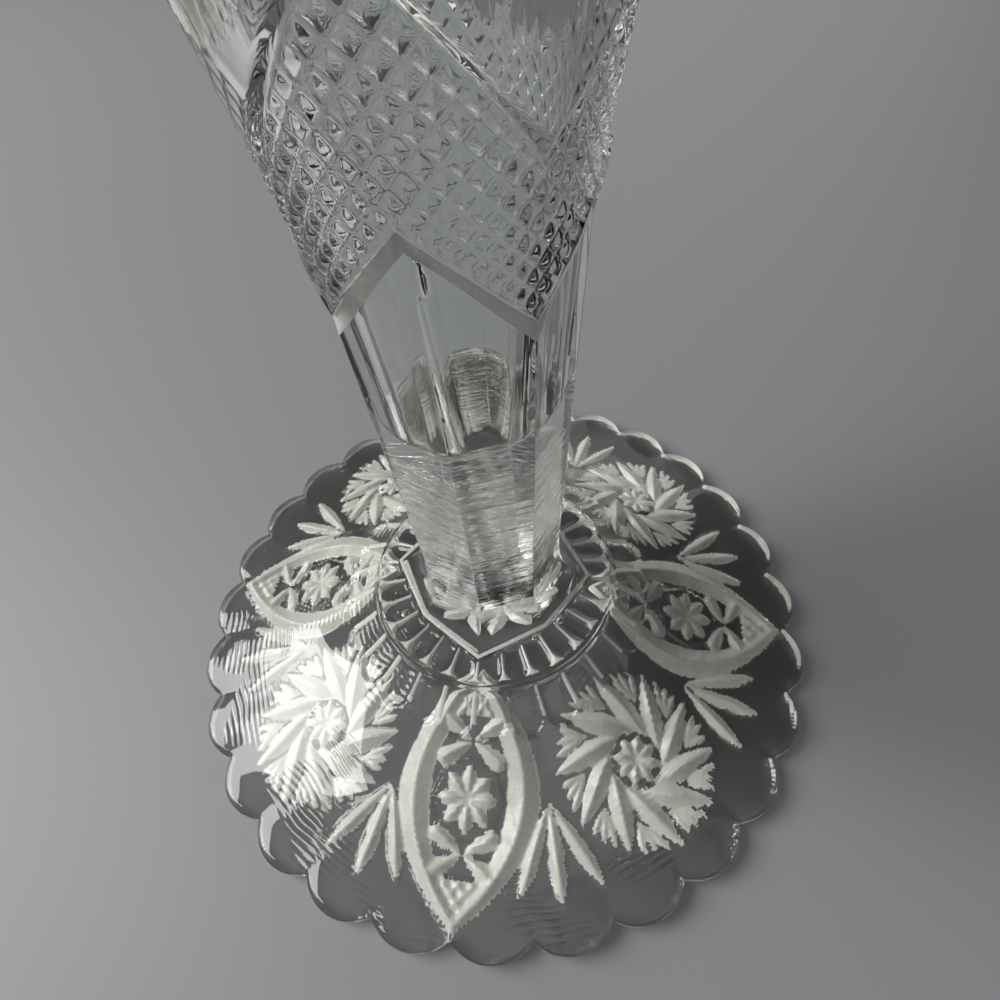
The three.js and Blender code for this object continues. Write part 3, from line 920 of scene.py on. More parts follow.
def fire_polish_group() -> bpy.types.NodeTree:
    """The slow waves of fire-polished glass, the level ripples of a chill, and the mould's turning rings.

    Returns:
        The group, which puts out height.
    """
    group = GroupBuilder.start(
        "fire_polish_waves",
        {
            "Vector": Socket.VECTOR,
            "Wave Scale": Socket.NUMBER,
            "Wave Height": Socket.NUMBER,
            "Ripple Scale": Socket.NUMBER,
            "Ripple Height": Socket.NUMBER,
            "Ripple Bottom": Socket.NUMBER,
            "Ripple Top": Socket.NUMBER,
            "Ring Scale": Socket.NUMBER,
            "Ring Height": Socket.NUMBER,
        },
        {"Height": Socket.NUMBER},
    )
    given = group.given
    place = group.node("ShaderNodeSeparateXYZ", {}, {"Vector": given["Vector"]}).outputs
    wave_inputs = {"Vector": given["Vector"], "Scale": given["Wave Scale"], "Detail": 1.0}
    waves = group.node("ShaderNodeTexNoise", {}, wave_inputs).outputs["Fac"]
    slow = group.math("MULTIPLY", waves, given["Wave Height"])
    level = group.node("ShaderNodeMapping", {"vector_type": "POINT"}, {"Vector": given["Vector"]})
    stretch = 0.12
    level.inputs["Scale"].default_value = (stretch, stretch, 1.0)
    ripple_inputs = {"Vector": level.outputs["Vector"], "Scale": given["Ripple Scale"], "Detail": 3.0}
    ripples = group.node("ShaderNodeTexNoise", {}, ripple_inputs).outputs["Fac"]
    fade_length = 4 * MM
    within = given["Ripple Height"]
    for gap in (
        group.math("SUBTRACT", given["Ripple Top"], place["Z"]),
        group.math("SUBTRACT", place["Z"], given["Ripple Bottom"]),
    ):
        fade_inputs = {"Value": gap, "From Min": 0.0, "From Max": fade_length}
        fade = group.node("ShaderNodeMapRange", {"interpolation_type": "SMOOTHSTEP"}, fade_inputs)
        within = group.math("MULTIPLY", within, fade.outputs["Result"])
    fine = group.math("MULTIPLY", ripples, within)
    squares = [group.math("MULTIPLY", place[axis], place[axis]) for axis in ("X", "Y")]
    radius = group.math("SQRT", group.math("ADD", *squares), 0.0)
    ring_wander = 5 * MM
    wander = group.math("MULTIPLY", waves, ring_wander)
    phase = group.math("MULTIPLY", group.math("ADD", radius, wander), given["Ring Scale"])
    patch_inputs = {"Value": waves, "From Min": 0.46, "From Max": 0.57}
    patches = group.node("ShaderNodeMapRange", {"interpolation_type": "SMOOTHSTEP"}, patch_inputs)
    ring_height = group.math("MULTIPLY", patches.outputs["Result"], given["Ring Height"])
    rings = group.math("MULTIPLY", group.math("SINE", phase, 0.0), ring_height)
    total = group.math("ADD", group.math("ADD", slow, fine), rings)
    group.tree.links.new(total, group.result["Height"])
    return group.tree


@dataclass(frozen=True)
class ClearGlass:
    """Clear pressed glass with a faint tint.

    Attributes:
        name: the material's name.
        index: its refractive index, or 1 on faces that are fused to the next piece.
        tint: what white light turns to on its way in and out.
        clearness: the share of light that passes, where the rest scatters as from satin.
        shade: what is left of the lamps' light that a piece lets through to what is behind it.
        polished: the roughness of fire-polished glass.
        stippled: the roughness of what the mould pressed.
        grain_scale: how fine the mould's grain is.
        grain_height: how high it stands.
        wave_scale: how close the slow waves lie.
        wave_height: how high they stand.
        ripple_scale: how close the level ripples lie.
        ripple_height: how high they stand, from ripple_bottom to ripple_top.
        ring_scale: how close the mould's turning rings lie.
        ring_height: how high they stand.
    """

    name: str
    index: float = 1.5
    tint: tuple[float, float, float] = (0.93, 0.945, 0.925)
    clearness: float = 1.0
    shade: tuple[float, float, float] = (0.15, 0.158, 0.152)
    polished: float = 0.004
    stippled: float = 0.45
    grain_scale: float = 1500.0
    grain_height: float = 0.05 * MM
    wave_scale: float = 70.0
    wave_height: float = 0.12 * MM
    ripple_scale: float = 420.0
    ripple_height: float = 0.0
    ripple_bottom: float = 0.0
    ripple_top: float = 0.0
    ring_scale: float = 4800.0
    ring_height: float = 0.0

    def pass_light(self, tree: bpy.types.NodeTree) -> None:
        """Lets the lamps' light pass straight through.

        A ray from a place towards a lamp meets a surface from behind where the place is inside the glass,
        and only there it isn't dimmed.

        Args:
            tree: the material's nodes, with their Principled shader.
        """
        nodes, links = tree.nodes, tree.links
        path = nodes.new("ShaderNodeLightPath")
        kept = nodes.new("ShaderNodeMix")
        kept.data_type = "RGBA"
        links.new(nodes.new("ShaderNodeNewGeometry").outputs["Backfacing"], kept.inputs["Factor"])
        kept.inputs["A"].default_value = (*self.shade, 1)
        kept.inputs["B"].default_value = (1, 1, 1, 1)
        clear = nodes.new("ShaderNodeBsdfTransparent")
        links.new(kept.outputs["Result"], clear.inputs["Color"])
        mixed = nodes.new("ShaderNodeMixShader")
        links.new(path.outputs["Is Shadow Ray"], mixed.inputs["Fac"])
        links.new(nodes["Principled BSDF"].outputs[0], mixed.inputs[1])
        links.new(clear.outputs[0], mixed.inputs[2])
        links.new(mixed.outputs[0], nodes["Material Output"].inputs["Surface"])

    def as_pressed(self) -> "ClearGlass":
        """Gives the finish of what the mould pressed.

        Returns:
            The same glass with a satin surface.
        """
        return replace(
            self,
            name=self.name + "_pressed",
            tint=(0.78, 0.77, 0.715),
            clearness=0.18,
            stippled=0.35,
            grain_height=0.10 * MM,
            ring_height=0.0,
        )

    def build(self, grain: bpy.types.NodeTree, polish: bpy.types.NodeTree) -> bpy.types.Material:
        """Makes the material, with the shared groups feeding its roughness and its bump.

        Args:
            grain: the group of pressed grain.
            polish: the group of fire-polished waves.

        Returns:
            The material.
        """
        material = bpy.data.materials.new(self.name)
        material.use_nodes = True
        tree = material.node_tree
        nodes, links = tree.nodes, tree.links
        shader = nodes["Principled BSDF"]
        shader.inputs["Base Color"].default_value = (*self.tint, 1)
        shader.inputs["Transmission Weight"].default_value = self.clearness
        shader.inputs["IOR"].default_value = self.index
        self.pass_light(tree)
        if self.index == 1.0:
            shader.inputs["Base Color"].default_value = (1, 1, 1, 1)
            shader.inputs["Roughness"].default_value = 0.0
            return material
        place = nodes.new("ShaderNodeTexCoord").outputs["Object"]
        mask = nodes.new("ShaderNodeAttribute")
        mask.attribute_name = "stipple"
        pressed = nodes.new("ShaderNodeGroup")
        pressed.node_tree = grain
        pressed.inputs["Grain Scale"].default_value = self.grain_scale
        pressed.inputs["Grain Height"].default_value = self.grain_height
        pressed.inputs["Polished Roughness"].default_value = self.polished
        pressed.inputs["Stippled Roughness"].default_value = self.stippled
        waves = nodes.new("ShaderNodeGroup")
        waves.node_tree = polish
        for socket, value in (
            ("Wave Scale", self.wave_scale),
            ("Wave Height", self.wave_height),
            ("Ripple Scale", self.ripple_scale),
            ("Ripple Height", self.ripple_height),
            ("Ripple Bottom", self.ripple_bottom),
            ("Ripple Top", self.ripple_top),
            ("Ring Scale", self.ring_scale),
            ("Ring Height", self.ring_height),
        ):
            waves.inputs[socket].default_value = value
        total = nodes.new("ShaderNodeMath")
        bump = nodes.new("ShaderNodeBump")
        bump.inputs["Distance"].default_value = 1.0
        links.new(place, pressed.inputs["Vector"])
        links.new(place, waves.inputs["Vector"])
        links.new(mask.outputs["Fac"], pressed.inputs["Mask"])
        links.new(pressed.outputs["Height"], total.inputs[0])
        links.new(waves.outputs["Height"], total.inputs[1])
        links.new(total.outputs[0], bump.inputs["Height"])
        links.new(bump.outputs["Normal"], shader.inputs["Normal"])
        links.new(pressed.outputs["Roughness"], shader.inputs["Roughness"])
        return material


# The foot


@dataclass
class Foot:
    """The scalloped, domed foot.

    Attributes:
        crown_radius: from the axis to the middle of a scallop.
        lip_height: the level top of the dome, round the wafer.
        seat_height: the floor that the wafer is fused to.
        seat_radius: the wall round the wafer.
        scallops: how many the rim has.
        scallop_reach: how far the middle of a scallop stands out past the notches.
        lobe_drop: how far the rim's top falls from there to the notches.
        rim_thickness: the plate's at the rim.
        rim_rounding: the radius of the rim's two edges.
        edge_satin: how satin the rim is below its middle.
        plate_thickness: the plate's, in under the dome.
        lip_radius: where the dome reaches its level top.
        lip_rounding: the radius of that top's edge.
        dome_sharpness: the power by which the dome rises.
        flute_depth: of the scoops round the lip.
        flute_length: from the lip outwards.
        lens: the outlines of a lens panel.
        hatch_ends: where a panel's inner hatching ends, and where its outer begins.
        star_place: the place along of a panel's star.
        star_radius: of that star.
        cross_places: the places along of a panel's crosses.
        pinwheel: what lies between two panels.
        fan_root: the radius of a fan's root, and its angle from the panel beside it.
        fan_tips: those of its tips.
        fan_width: of its leaves.
        centre_star_radius: to the tips of the star in the foot's middle.
        centre_star_width: of its rays.
        centre_star_slope: of their facets.
        underside_count: points in each of the underside's outer rings.
        top_count: points in each of the dome's rings.
    """

    crown_radius: float
    lip_height: float
    seat_height: float
    seat_radius: float
    scallops: int = 28
    scallop_reach: float = 3.4 * MM
    lobe_drop: float = 0.5 * MM
    rim_thickness: float = 5.0 * MM
    rim_rounding: float = 1.6 * MM
    edge_satin: float = 0.9
    plate_thickness: float = 5.6 * MM
    lip_radius: float = 30.0 * MM
    lip_rounding: float = 0.3 * MM
    dome_sharpness: float = 2.2
    flute_depth: float = 1.3 * MM
    flute_length: float = 9.0 * MM
    lens: Lens = Lens(23.3 * MM, 73.9 * MM, 15.75 * MM, 3.6 * MM)
    hatch_ends: tuple[float, float] = (33.0 * MM, 64.0 * MM)
    star_place: float = 48.9 * MM
    star_radius: float = 5.7 * MM
    cross_places: tuple[float, ...] = (37.6 * MM, 59.4 * MM)
    pinwheel: Pinwheel = Pinwheel(
        (51.5 * MM, 0.0),
        19.0 * MM,
        blade_width=0.26,
        blade_slope=0.9,
        blade_fullest=0.42,
        blade_start=1.06,
    )
    fan_root: tuple[float, float] = (50.2 * MM, math.radians(20.5))
    fan_tips: tuple[tuple[float, float], ...] = (
        (68.2 * MM, math.radians(11)),
        (70.5 * MM, math.radians(18.5)),
        (69.0 * MM, math.radians(26.5)),
    )
    fan_width: float = 3.4 * MM
    centre_star_radius: float = 13.0 * MM
    centre_star_width: float = 4.4 * MM
    centre_star_slope: float = 0.45
    underside_count: int = 588
    top_count: int = 336

    @property
    def notch_radius(self) -> float:
        """From the axis to the notches between the scallops."""
        return self.crown_radius - self.scallop_reach

    def outline(self, angle: np.ndarray) -> np.ndarray:
        """The scalloped outline.

        Args:
            angle: the angle round the axis.

        Returns:
            The radius of the arcs, which pass through the crown and the notch on each side of it.
        """
        half = TURN / 2 / self.scallops
        from_middle = fold(angle, FRONT + half, 2 * half)
        crown, notch = self.crown_radius, self.notch_radius
        centre = (crown**2 - notch**2) / (2 * (crown - notch * math.cos(half)))
        arc = crown - centre
        return centre * np.cos(from_middle) + np.sqrt(arc**2 - (centre * np.sin(from_middle)) ** 2)

    def lobe_fall(self, angle: np.ndarray) -> np.ndarray:
        """How far the rim's top falls: by the square of the way from a scallop's middle to the notch."""
        return self.lobe_drop * triangle_wave(self.scallops * (angle - FRONT) / TURN + 0.5) ** 2

    def top(self, radius: np.ndarray) -> np.ndarray:
        """The dome's height: a power of the share of the way from the notches in to the lip."""
        share = np.clip((self.notch_radius - radius) / (self.notch_radius - self.lip_radius), 0, 1)
        return self.rim_thickness + (self.lip_height - self.rim_thickness) * share**self.dome_sharpness

    def underside(self, radius: np.ndarray) -> np.ndarray:
        """The plate's thickness below the top, and never below the table."""
        return np.maximum(0, self.top(radius) - self.plate_thickness)

    def edge_radius(self, angle: np.ndarray, row: np.ndarray) -> np.ndarray:
        """A ring's radius, up to where the rim's rounding begins.

        Args:
            angle: the angle round the axis.
            row: the radius that the ring would have if it were round.

        Returns:
            That radius further in, and over the last stretch more and more of the scalloped outline.
        """
        stretch = 9 * MM
        edge = self.notch_radius - self.rim_rounding
        scalloped = self.outline(angle) - self.rim_rounding
        return row + (scalloped - edge) * smooth_step(edge - stretch, edge, row)

    def pattern(self, angle: np.ndarray, radius: np.ndarray) -> tuple[np.ndarray, np.ndarray]:
        """What is pressed into the underside, where the deepest cut counts.

        Args:
            angle: the angle round the axis.
            radius: the distance from it.

        Returns:
            The depth and the stipple.
        """
        from_lens = fold(angle, FRONT, SECTOR)
        from_wheel = fold(angle, FRONT + SECTOR / 2, SECTOR)
        inner_end, outer_end = self.hatch_ends
        panel = LensPanel(
            self.lens,
            (self.star_place,),
            self.cross_places,
            ((self.lens.start, inner_end), (outer_end, self.lens.end)),
            self.star_radius,
        )
        cuts: list[Cut] = panel.cuts()
        for side in (-1, 1):
            root = polar(self.fan_root[0], side * self.fan_root[1])
            tips = [polar(reach, side * spread) for reach, spread in self.fan_tips]
            cuts += fan(root, tips, self.fan_width)
        rays = 2 * FOLD
        cuts += star(
            (0.0, 0.0), self.centre_star_radius, rays, self.centre_star_width, self.centre_star_slope
        )
        depth, stipple = carve(cuts, radius * np.cos(from_lens), radius * np.sin(from_lens))
        wheel_x, wheel_y = radius * np.cos(from_wheel), radius * np.sin(from_wheel)
        wheel_depth, wheel_stipple = carve(self.pinwheel.cuts(), wheel_x, wheel_y)
        return np.maximum(depth, wheel_depth), np.where(wheel_depth > depth, wheel_stipple, stipple)

    def underside_surface(self, angle: np.ndarray, row: np.ndarray) -> Place:
        """The underside: the pattern's depth is carved up into it.

        Args:
            angle: the angle round the axis.
            row: the ring's radius, were it round.

        Returns:
            Radius, height and stipple.
        """
        radius = self.edge_radius(angle, row)
        depth, stipple = self.pattern(angle, radius)
        return radius, self.underside(radius) + depth, stipple

    def rim_surface(self, angle: np.ndarray, row: np.ndarray) -> Place:
        """The rim: a quarter circle out and up, an upright stretch, and a quarter circle in.

        Args:
            angle: the angle round the axis.
            row: 0 to 1 along the lower quarter circle and 1 to 2 along the upper.

        Returns:
            Radius, height and stipple.
        """
        satin_from = 0.3
        rounding = self.rim_rounding
        turn = np.mod(row, 1.0) * TURN / 4
        upper = row >= 1
        inset = rounding * np.where(upper, 1 - np.cos(turn), 1 - np.sin(turn))
        upper_rise = self.rim_thickness - rounding + rounding * np.sin(turn)
        rise = np.where(upper, upper_rise, rounding * (1 - np.cos(turn)))
        satin = np.where((row > satin_from) & ~upper, self.edge_satin, 0.0)
        return self.outline(angle) - inset, rise - self.lobe_fall(angle) * upper, satin

    def dome_surface(self, angle: np.ndarray, row: np.ndarray) -> Place:
        """The dome, less its scoops round the lip, and less the fall to the notches near the rim.

        Args:
            angle: the angle round the axis.
            row: the ring's radius, were it round.

        Returns:
            Radius, height and stipple, which the borders between the scoops have near the lip.
        """
        fall_stretch, border_end, border_full = 8 * MM, 0.85, 0.6
        edge = self.notch_radius - self.rim_rounding
        radius = self.edge_radius(angle, row)
        from_lip = row - self.lip_radius
        flute = scoops(angle, from_lip / self.flute_length, self.scallops)
        drop = self.lobe_fall(angle) * smooth_step(edge - fall_stretch, edge, row)
        near = smooth_step(border_end * self.flute_length, border_full * self.flute_length, from_lip)
        height = self.top(radius) - self.flute_depth * flute - drop
        return radius, height, flute_border(angle, flute) * near

    def lip_edge_surface(self, angle: np.ndarray, row: np.ndarray) -> Place:
        """The quarter circle from the dome to its level top, where the row is the angle along it."""
        radius = self.lip_radius - self.lip_rounding * (1 - np.cos(row))
        return radius, self.lip_height - self.lip_rounding * (1 - np.sin(row)), 0.0

    def patches(self) -> list[Patch]:
        """Lays out the foot's rings.

        The underside's outer rings lie as far apart as their points do, so that its cells are square.

        Returns:
            The rings out along the underside, round the rim and in along the top.
        """
        count, top_count = self.underside_count, self.top_count
        edge = self.notch_radius - self.rim_rounding
        first_ring, last_inner_ring, outer_from = 1.2 * MM, 21.4 * MM, 22 * MM
        inner_rows = np.linspace(first_ring, last_inner_ring, 30)
        growth = math.log(edge / outer_from)
        rings = math.ceil(growth / (TURN / count))
        outer_rows = outer_from * np.exp(np.linspace(0, 1, rings) * growth)
        rim_rows = np.array([0.2, 0.35, 0.6, 0.999, 1.001, 1.25, 1.5, 1.75])
        flute_end = self.lip_radius + self.flute_length
        plain_rows = np.linspace(edge, flute_end + MM, 16)
        fluted_rows = np.linspace(flute_end, self.lip_radius + self.lip_rounding, 22)
        lip_edge_rows = np.linspace(0.1, 1, 4) * TURN / 4
        lip_rows = np.array([self.seat_radius + MM / 2, self.seat_radius])
        wall_rows = np.array([self.lip_height - MM, self.seat_height])
        seat_rows = np.array([self.seat_radius - MM, 20 * MM, 10 * MM])
        return [
            Patch(self.underside_surface, inner_rows, count // 2),
            Patch(self.underside_surface, outer_rows, count),
            Patch(self.rim_surface, rim_rows, count),
            Patch(self.dome_surface, plain_rows, top_count),
            Patch(self.dome_surface, fluted_rows, top_count),
            Patch(self.lip_edge_surface, lip_edge_rows, top_count // 2),
            Patch(level_face(self.lip_height), lip_rows, top_count // 2, True),
            Patch(upright_wall(self.seat_radius), wall_rows, top_count // 2, True),
            Patch(level_face(self.seat_height), seat_rows, top_count // 4, True),
        ]

    def build(self, materials: Sequence[bpy.types.Material]) -> bpy.types.Object:
        """Makes the foot's mesh.

        Args:
            materials: the polished glass, that of faces fused to the wafer, and the pressed glass.

        Returns:
            The foot.
        """
        skin = Skin()
        low = float(self.underside(np.array(0.0)))
        skin.grow(low, self.patches(), self.seat_height)
        return skin.to_object("foot_glass", materials)


# The wafer


@dataclass
class Wafer:
    """The disc of glass that fuses body and foot, with the bubbles that were trapped in it.

    Attributes:
        radius: from the axis to its edge.
        low: the height of its lower face.
        high: that of its upper face.
        bubbles: the plan place and the radius of each bubble.
        bubble_flatness: a bubble's half height, as a share of its radius.
        count: points in a ring.
    """

    radius: float
    low: float
    high: float
    bubbles: tuple[tuple[float, float, float], ...] = (
        (-19.6 * MM, -13.0 * MM, 1.3 * MM),
        (11.7 * MM, -15.0 * MM, 1.2 * MM),
        (16.9 * MM, -10.8 * MM, 1.4 * MM),
        (-12.4 * MM, -17.0 * MM, 0.5 * MM),
        (-15.2 * MM, -15.6 * MM, 0.4 * MM),
        (6.0 * MM, 18.5 * MM, 0.9 * MM),
        (-20.5 * MM, 6.5 * MM, 0.6 * MM),
    )
    bubble_flatness: float = 0.55
    count: int = 112

    def patches(self) -> list[Patch]:
        """Lays out the wafer's rings.

        Returns:
            A level face, an upright edge and a level face, all of them fused to the foot or to the body.
        """
        face_rows = np.array([10 * MM, 20 * MM, self.radius - CONTACT])
        edge_rows = np.array([self.low + CONTACT, self.high - CONTACT])
        return [
            Patch(level_face(self.low), face_rows, self.count, True),
            Patch(upright_wall(self.radius), edge_rows, self.count, True),
            Patch(level_face(self.high), face_rows[::-1], self.count, True),
        ]

    def build(self, materials: Sequence[bpy.types.Material]) -> bpy.types.Object:
        """Makes the wafer's mesh and its bubbles.

        Args:
            materials: the polished glass, that of fused faces, and the pressed glass.

        Returns:
            The wafer.
        """
        skin = Skin()
        skin.grow(self.low, self.patches(), self.high)
        most_share = 0.4
        for x, y, radius in self.bubbles:
            flat = min(radius * self.bubble_flatness, (self.high - self.low) * most_share)
            skin.add_bubble((x, y, (self.low + self.high) / 2), radius, flat)
        return skin.to_object("wafer_glass", materials)


# The body


@dataclass
class Body:
    """Collar, octagonal stem and flared bowl, one piece of glass.

    Attributes:
        base: the height of the face that is fused to the wafer.
        height: the vase's own, to the mouth's scallops.
        collar_radius: the collar's outer radius.
        mouth_radius: the mouth's outer radius.
        flutes: how many scoops the collar has.
        flute_depth: theirs.
        collar_edge: how thick the collar is at its rim.
        collar_rounding: the radius of that rim's edges.
        shelf_width: of the shelf round the stem's base.
        shelf_height: how far it stands over the collar.
        stem_base: where the stem leaves the shelf.
        sides: how many flat facets the stem has.
        flare_radius: of the stem's spreading corners at its base.
        base_radius: of its other corners there.
        flare_sharpness: the power by which both hollow out below the waist.
        waist_height: where the corners begin to do so.
        waist_radius: of the corners there.
        stem_top_radius: of the corners at the facets' peaks.
        facet_peak: the top of a facet's point.
        facet_valley: the place between two points.
        bevel: how high the zigzag bevel over the facets is.
        bead_height: how far its upper edge stands out.
        bowl_start: the bowl's radius at the valleys.
        bowl_slope: how fast it spreads there.
        wall: the bowl's thickness.
        lip: how high the mouth's rounding is.
        field_rings: how many rings follow the zigzag, above the bevel.
        upper_count: points in each ring above those.
        mouth_scallops: how many the mouth has.
        mouth_scallop_height: from a notch to the top of an arch.
        mouth_arch: the power that makes the arches full.
        cavity_floor: its height.
        cavity_floor_radius: the cavity's at its floor.
        cavity_rounding: the radius of the floor's edge.
        cavity_corner: the radius of the corners between the cavity's flat sides.
        cavity_flatness: how near the axis those sides lie, as a share of the round cavity's radius.
        cavity_round_from: where they begin to turn round.
        cavity_round_above: where they are.
        burr_top: where the drop of glass under the front peak begins.
        burr_length: down from there.
        burr_width: where it is fullest.
        burr_height: how far it stands out.
        burr_turn: its angle from that peak.
        band_peak: the mitre groove over the diamond field, over a facet's point.
        band_valley: and between two points.
        points_each_edge: how many diamond points lie along one edge of the zigzag.
        cells_each_point: how many mesh cells one of them takes.
        point_height: how high they stand over their grooves.
        mitre_half: half the width of the mitre groove.
        mitre_depth: its depth.
        lens: the outlines of a lens panel, along heights.
        hatch_ends: where a panel's lower hatching ends, and where its upper begins.
        star_places: the heights of its stars.
        cross_places: the heights of its crosses.
        star_radius: of its stars.
        border_depth: of its border's keel.
        wheels: the heights and the radii of the pinwheels between the panels.
        fans: over each, a fan's root, its leaves' reach, and how far they spread to each side.
        fan_width: of those leaves.
    """

    base: float
    height: float
    collar_radius: float
    mouth_radius: float
    flutes: int = 28
    flute_depth: float = 1.3 * MM
    collar_edge: float = 1.3 * MM
    collar_rounding: float = 0.35 * MM
    shelf_width: float = 1.1 * MM
    shelf_height: float = 0.6 * MM
    stem_base: float = 23.2 * MM
    sides: int = 8
    flare_radius: float = 22.9 * MM
    base_radius: float = 19.6 * MM
    flare_sharpness: float = 4.5
    waist_height: float = 40.0 * MM
    waist_radius: float = 16.2 * MM
    stem_top_radius: float = 19.3 * MM
    facet_peak: float = 118.0 * MM
    facet_valley: float = 102.5 * MM
    bevel: float = 3.6 * MM
    bead_height: float = 0.5 * MM
    bowl_start: float = 17.7 * MM
    bowl_slope: float = 0.145
    wall: float = 4.8 * MM
    lip: float = 1.4 * MM
    field_rings: int = 44
    upper_count: int = 336
    mouth_scallops: int = 16
    mouth_scallop_height: float = 5.0 * MM
    mouth_arch: float = 0.7
    cavity_floor: float = 80.0 * MM
    cavity_floor_radius: float = 11.5 * MM
    cavity_rounding: float = 1.6 * MM
    cavity_corner: float = 7.0 * MM
    cavity_flatness: float = 0.965
    cavity_round_from: float = 106.0 * MM
    cavity_round_above: float = 128.0 * MM
    burr_top: float = 117.2 * MM
    burr_length: float = 5.0 * MM
    burr_width: float = 1.9 * MM
    burr_height: float = 1.1 * MM
    burr_turn: float = math.radians(3)
    band_peak: float = 143.2 * MM
    band_valley: float = 124.8 * MM
    points_each_edge: int = 9
    cells_each_point: int = 6
    point_height: float = 0.85 * MM
    mitre_half: float = 1.0 * MM
    mitre_depth: float = 1.1 * MM
    lens: Lens = Lens(143 * MM, 299 * MM, 11.5 * MM, 3.0 * MM)
    hatch_ends: tuple[float, float] = (160 * MM, 281 * MM)
    star_places: tuple[float, ...] = (186 * MM, 222 * MM, 258 * MM)
    cross_places: tuple[float, ...] = (168 * MM, 204 * MM, 240 * MM, 274 * MM)
    star_radius: float = 4.6 * MM
    border_depth: float = 1.5 * MM
    wheels: tuple[tuple[float, float], ...] = (
        (149 * MM, 14.5 * MM),
        (196 * MM, 17.5 * MM),
        (251 * MM, 23 * MM),
    )
    fans: tuple[tuple[float, float, tuple[float, ...]], ...] = (
        (163 * MM, 17 * MM, (0.0, 0.62, 1.2)),
        (214 * MM, 20 * MM, (0.0, 0.62, 1.2)),
        (272 * MM, 26 * MM, (0.0, 0.36, 0.72, 1.08)),
    )
    fan_width: float = 3.4 * MM

    @property
    def count(self) -> int:
        """Points in a ring: a whole number of cells for each diamond point."""
        return self.sides * self.points_each_edge * self.cells_each_point

    @property
    def field_rows(self) -> np.ndarray:
        """The rings' heights over the bevel, so far apart that the cells' diagonals suit the diamonds."""
        cells = self.points_each_edge * self.cells_each_point
        rise_each = 2 * (self.facet_peak - self.facet_valley) / cells
        return rise_each * np.arange(1, self.field_rings + 1)

    def zigzag(self, angle: np.ndarray) -> np.ndarray:
        """0 over the zigzag's valleys and 1 over its peaks, along straight lines."""
        return 1 - np.abs(fold(angle, FRONT, SECTOR)) / (SECTOR / 2)

    def bowl_radius(self, height: np.ndarray) -> np.ndarray:
        """The bowl's round surface: a straight slope and a square of the rise, to the mouth's radius."""
        full, rise = self.height - self.facet_valley, height - self.facet_valley
        spread = self.mouth_radius - self.bowl_start - self.bowl_slope * full
        return self.bowl_start + self.bowl_slope * rise + spread * (rise / full) ** 2

    def facet_top(self, angle: np.ndarray) -> np.ndarray:
        """Where the stem's plain facets end."""
        return mix(self.facet_valley, self.facet_peak, self.zigzag(angle))

    def band_top(self, angle: np.ndarray) -> np.ndarray:
        """The mitre groove that closes the diamond field."""
        return mix(self.band_valley, self.band_peak, self.zigzag(angle))

    def corner_radius(self, height: np.ndarray, spreading: bool) -> np.ndarray:
        """The stem's corners: straight above the waist, and below it hollow out to their base.

        Args:
            height: where on the stem.
            spreading: whether it is one of the corners that spread further.

        Returns:
            The corner's radius, which grows below the waist by a power of the way down.
        """
        share = (height - self.waist_height) / (self.facet_peak - self.waist_height)
        straight = mix(self.waist_radius, self.stem_top_radius, share)
        foot = self.flare_radius if spreading else self.base_radius
        down = np.clip((self.waist_height - height) / (self.waist_height - self.stem_base), 0, 1)
        hollow = self.waist_radius + (foot - self.waist_radius) * down**self.flare_sharpness
        return np.where(down > 0, hollow, straight)

    def facet_radius(self, angle: np.ndarray, height: np.ndarray) -> np.ndarray:
        """The stem's facets.

        Args:
            angle: the angle round the axis.
            height: where on the stem.

        Returns:
            The radius of the straight line in plan from one corner to the next.
        """
        side = TURN / self.sides
        near = np.abs(fold(angle, FRONT, SECTOR))
        one, other = self.corner_radius(height, True), self.corner_radius(height, False)
        return one * other * math.sin(side) / (one * np.sin(near) + other * np.sin(side - near))

    def stem_edge(self, angle: np.ndarray) -> np.ndarray:
        """The facets' radius at their base."""
        return self.facet_radius(angle, np.full(angle.shape, self.stem_base))

    def burr(self, angle: np.ndarray, height: np.ndarray) -> np.ndarray:
        """How far the drop of glass under the zigzag's front peak stands out.

        Args:
            angle: the angle round the axis.
            height: where on the stem.

        Returns:
            A quarter circle each way across; downwards it widens to its fullest place and ends round.
        """
        fullest, first_share = 0.66, 0.35
        share = (self.burr_top - height) / self.burr_length
        widening = first_share + (1 - first_share) * np.clip(share / fullest, 0, 1)
        ending = np.sqrt(np.clip(1 - (np.clip(share - fullest, 0, None) / (1 - fullest)) ** 2, 0, 1))
        full = np.where(share > 0, widening * ending, 0)
        across = fold(angle, FRONT + self.burr_turn, TURN) * self.stem_top_radius
        half = np.maximum(self.burr_width / 2 * full, MM / 1000)
        return self.burr_height * full * np.sqrt(np.clip(1 - (across / half) ** 2, 0, 1))

    def mouth_height(self, angle: np.ndarray) -> np.ndarray:
        """The scalloped mouth: arches that meet in notches, each a power of a cosine."""
        wave = np.abs(np.cos(self.mouth_scallops * (angle - FRONT) / 2))
        return self.height - self.mouth_scallop_height * (1 - wave**self.mouth_arch)

    def diamonds(self, angle: np.ndarray, height: np.ndarray) -> np.ndarray:
        """The diamond field, whose grooves run both ways parallel to the zigzag's edges.

        Args:
            angle: the angle round the axis.
            height: where on the bowl.

        Returns:
            How far below the points it lies: a point rises by a blend of the distance to the nearest
            groove and that distance's quarter sine.
        """
        sharpness = 0.5
        rise = (height - self.bevel - self.facet_valley) / (self.facet_peak - self.facet_valley)
        along = (angle - FRONT) / (TURN / self.sides)
        half_points = self.points_each_edge / 2
        one = triangle_wave(half_points * (rise + along) + 0.5)
        other = triangle_wave(half_points * (rise - along) + 0.5)
        nearer = np.minimum(one, other)
        return self.point_height * (1 - mix(np.sin(nearer * TURN / 4), nearer, sharpness))

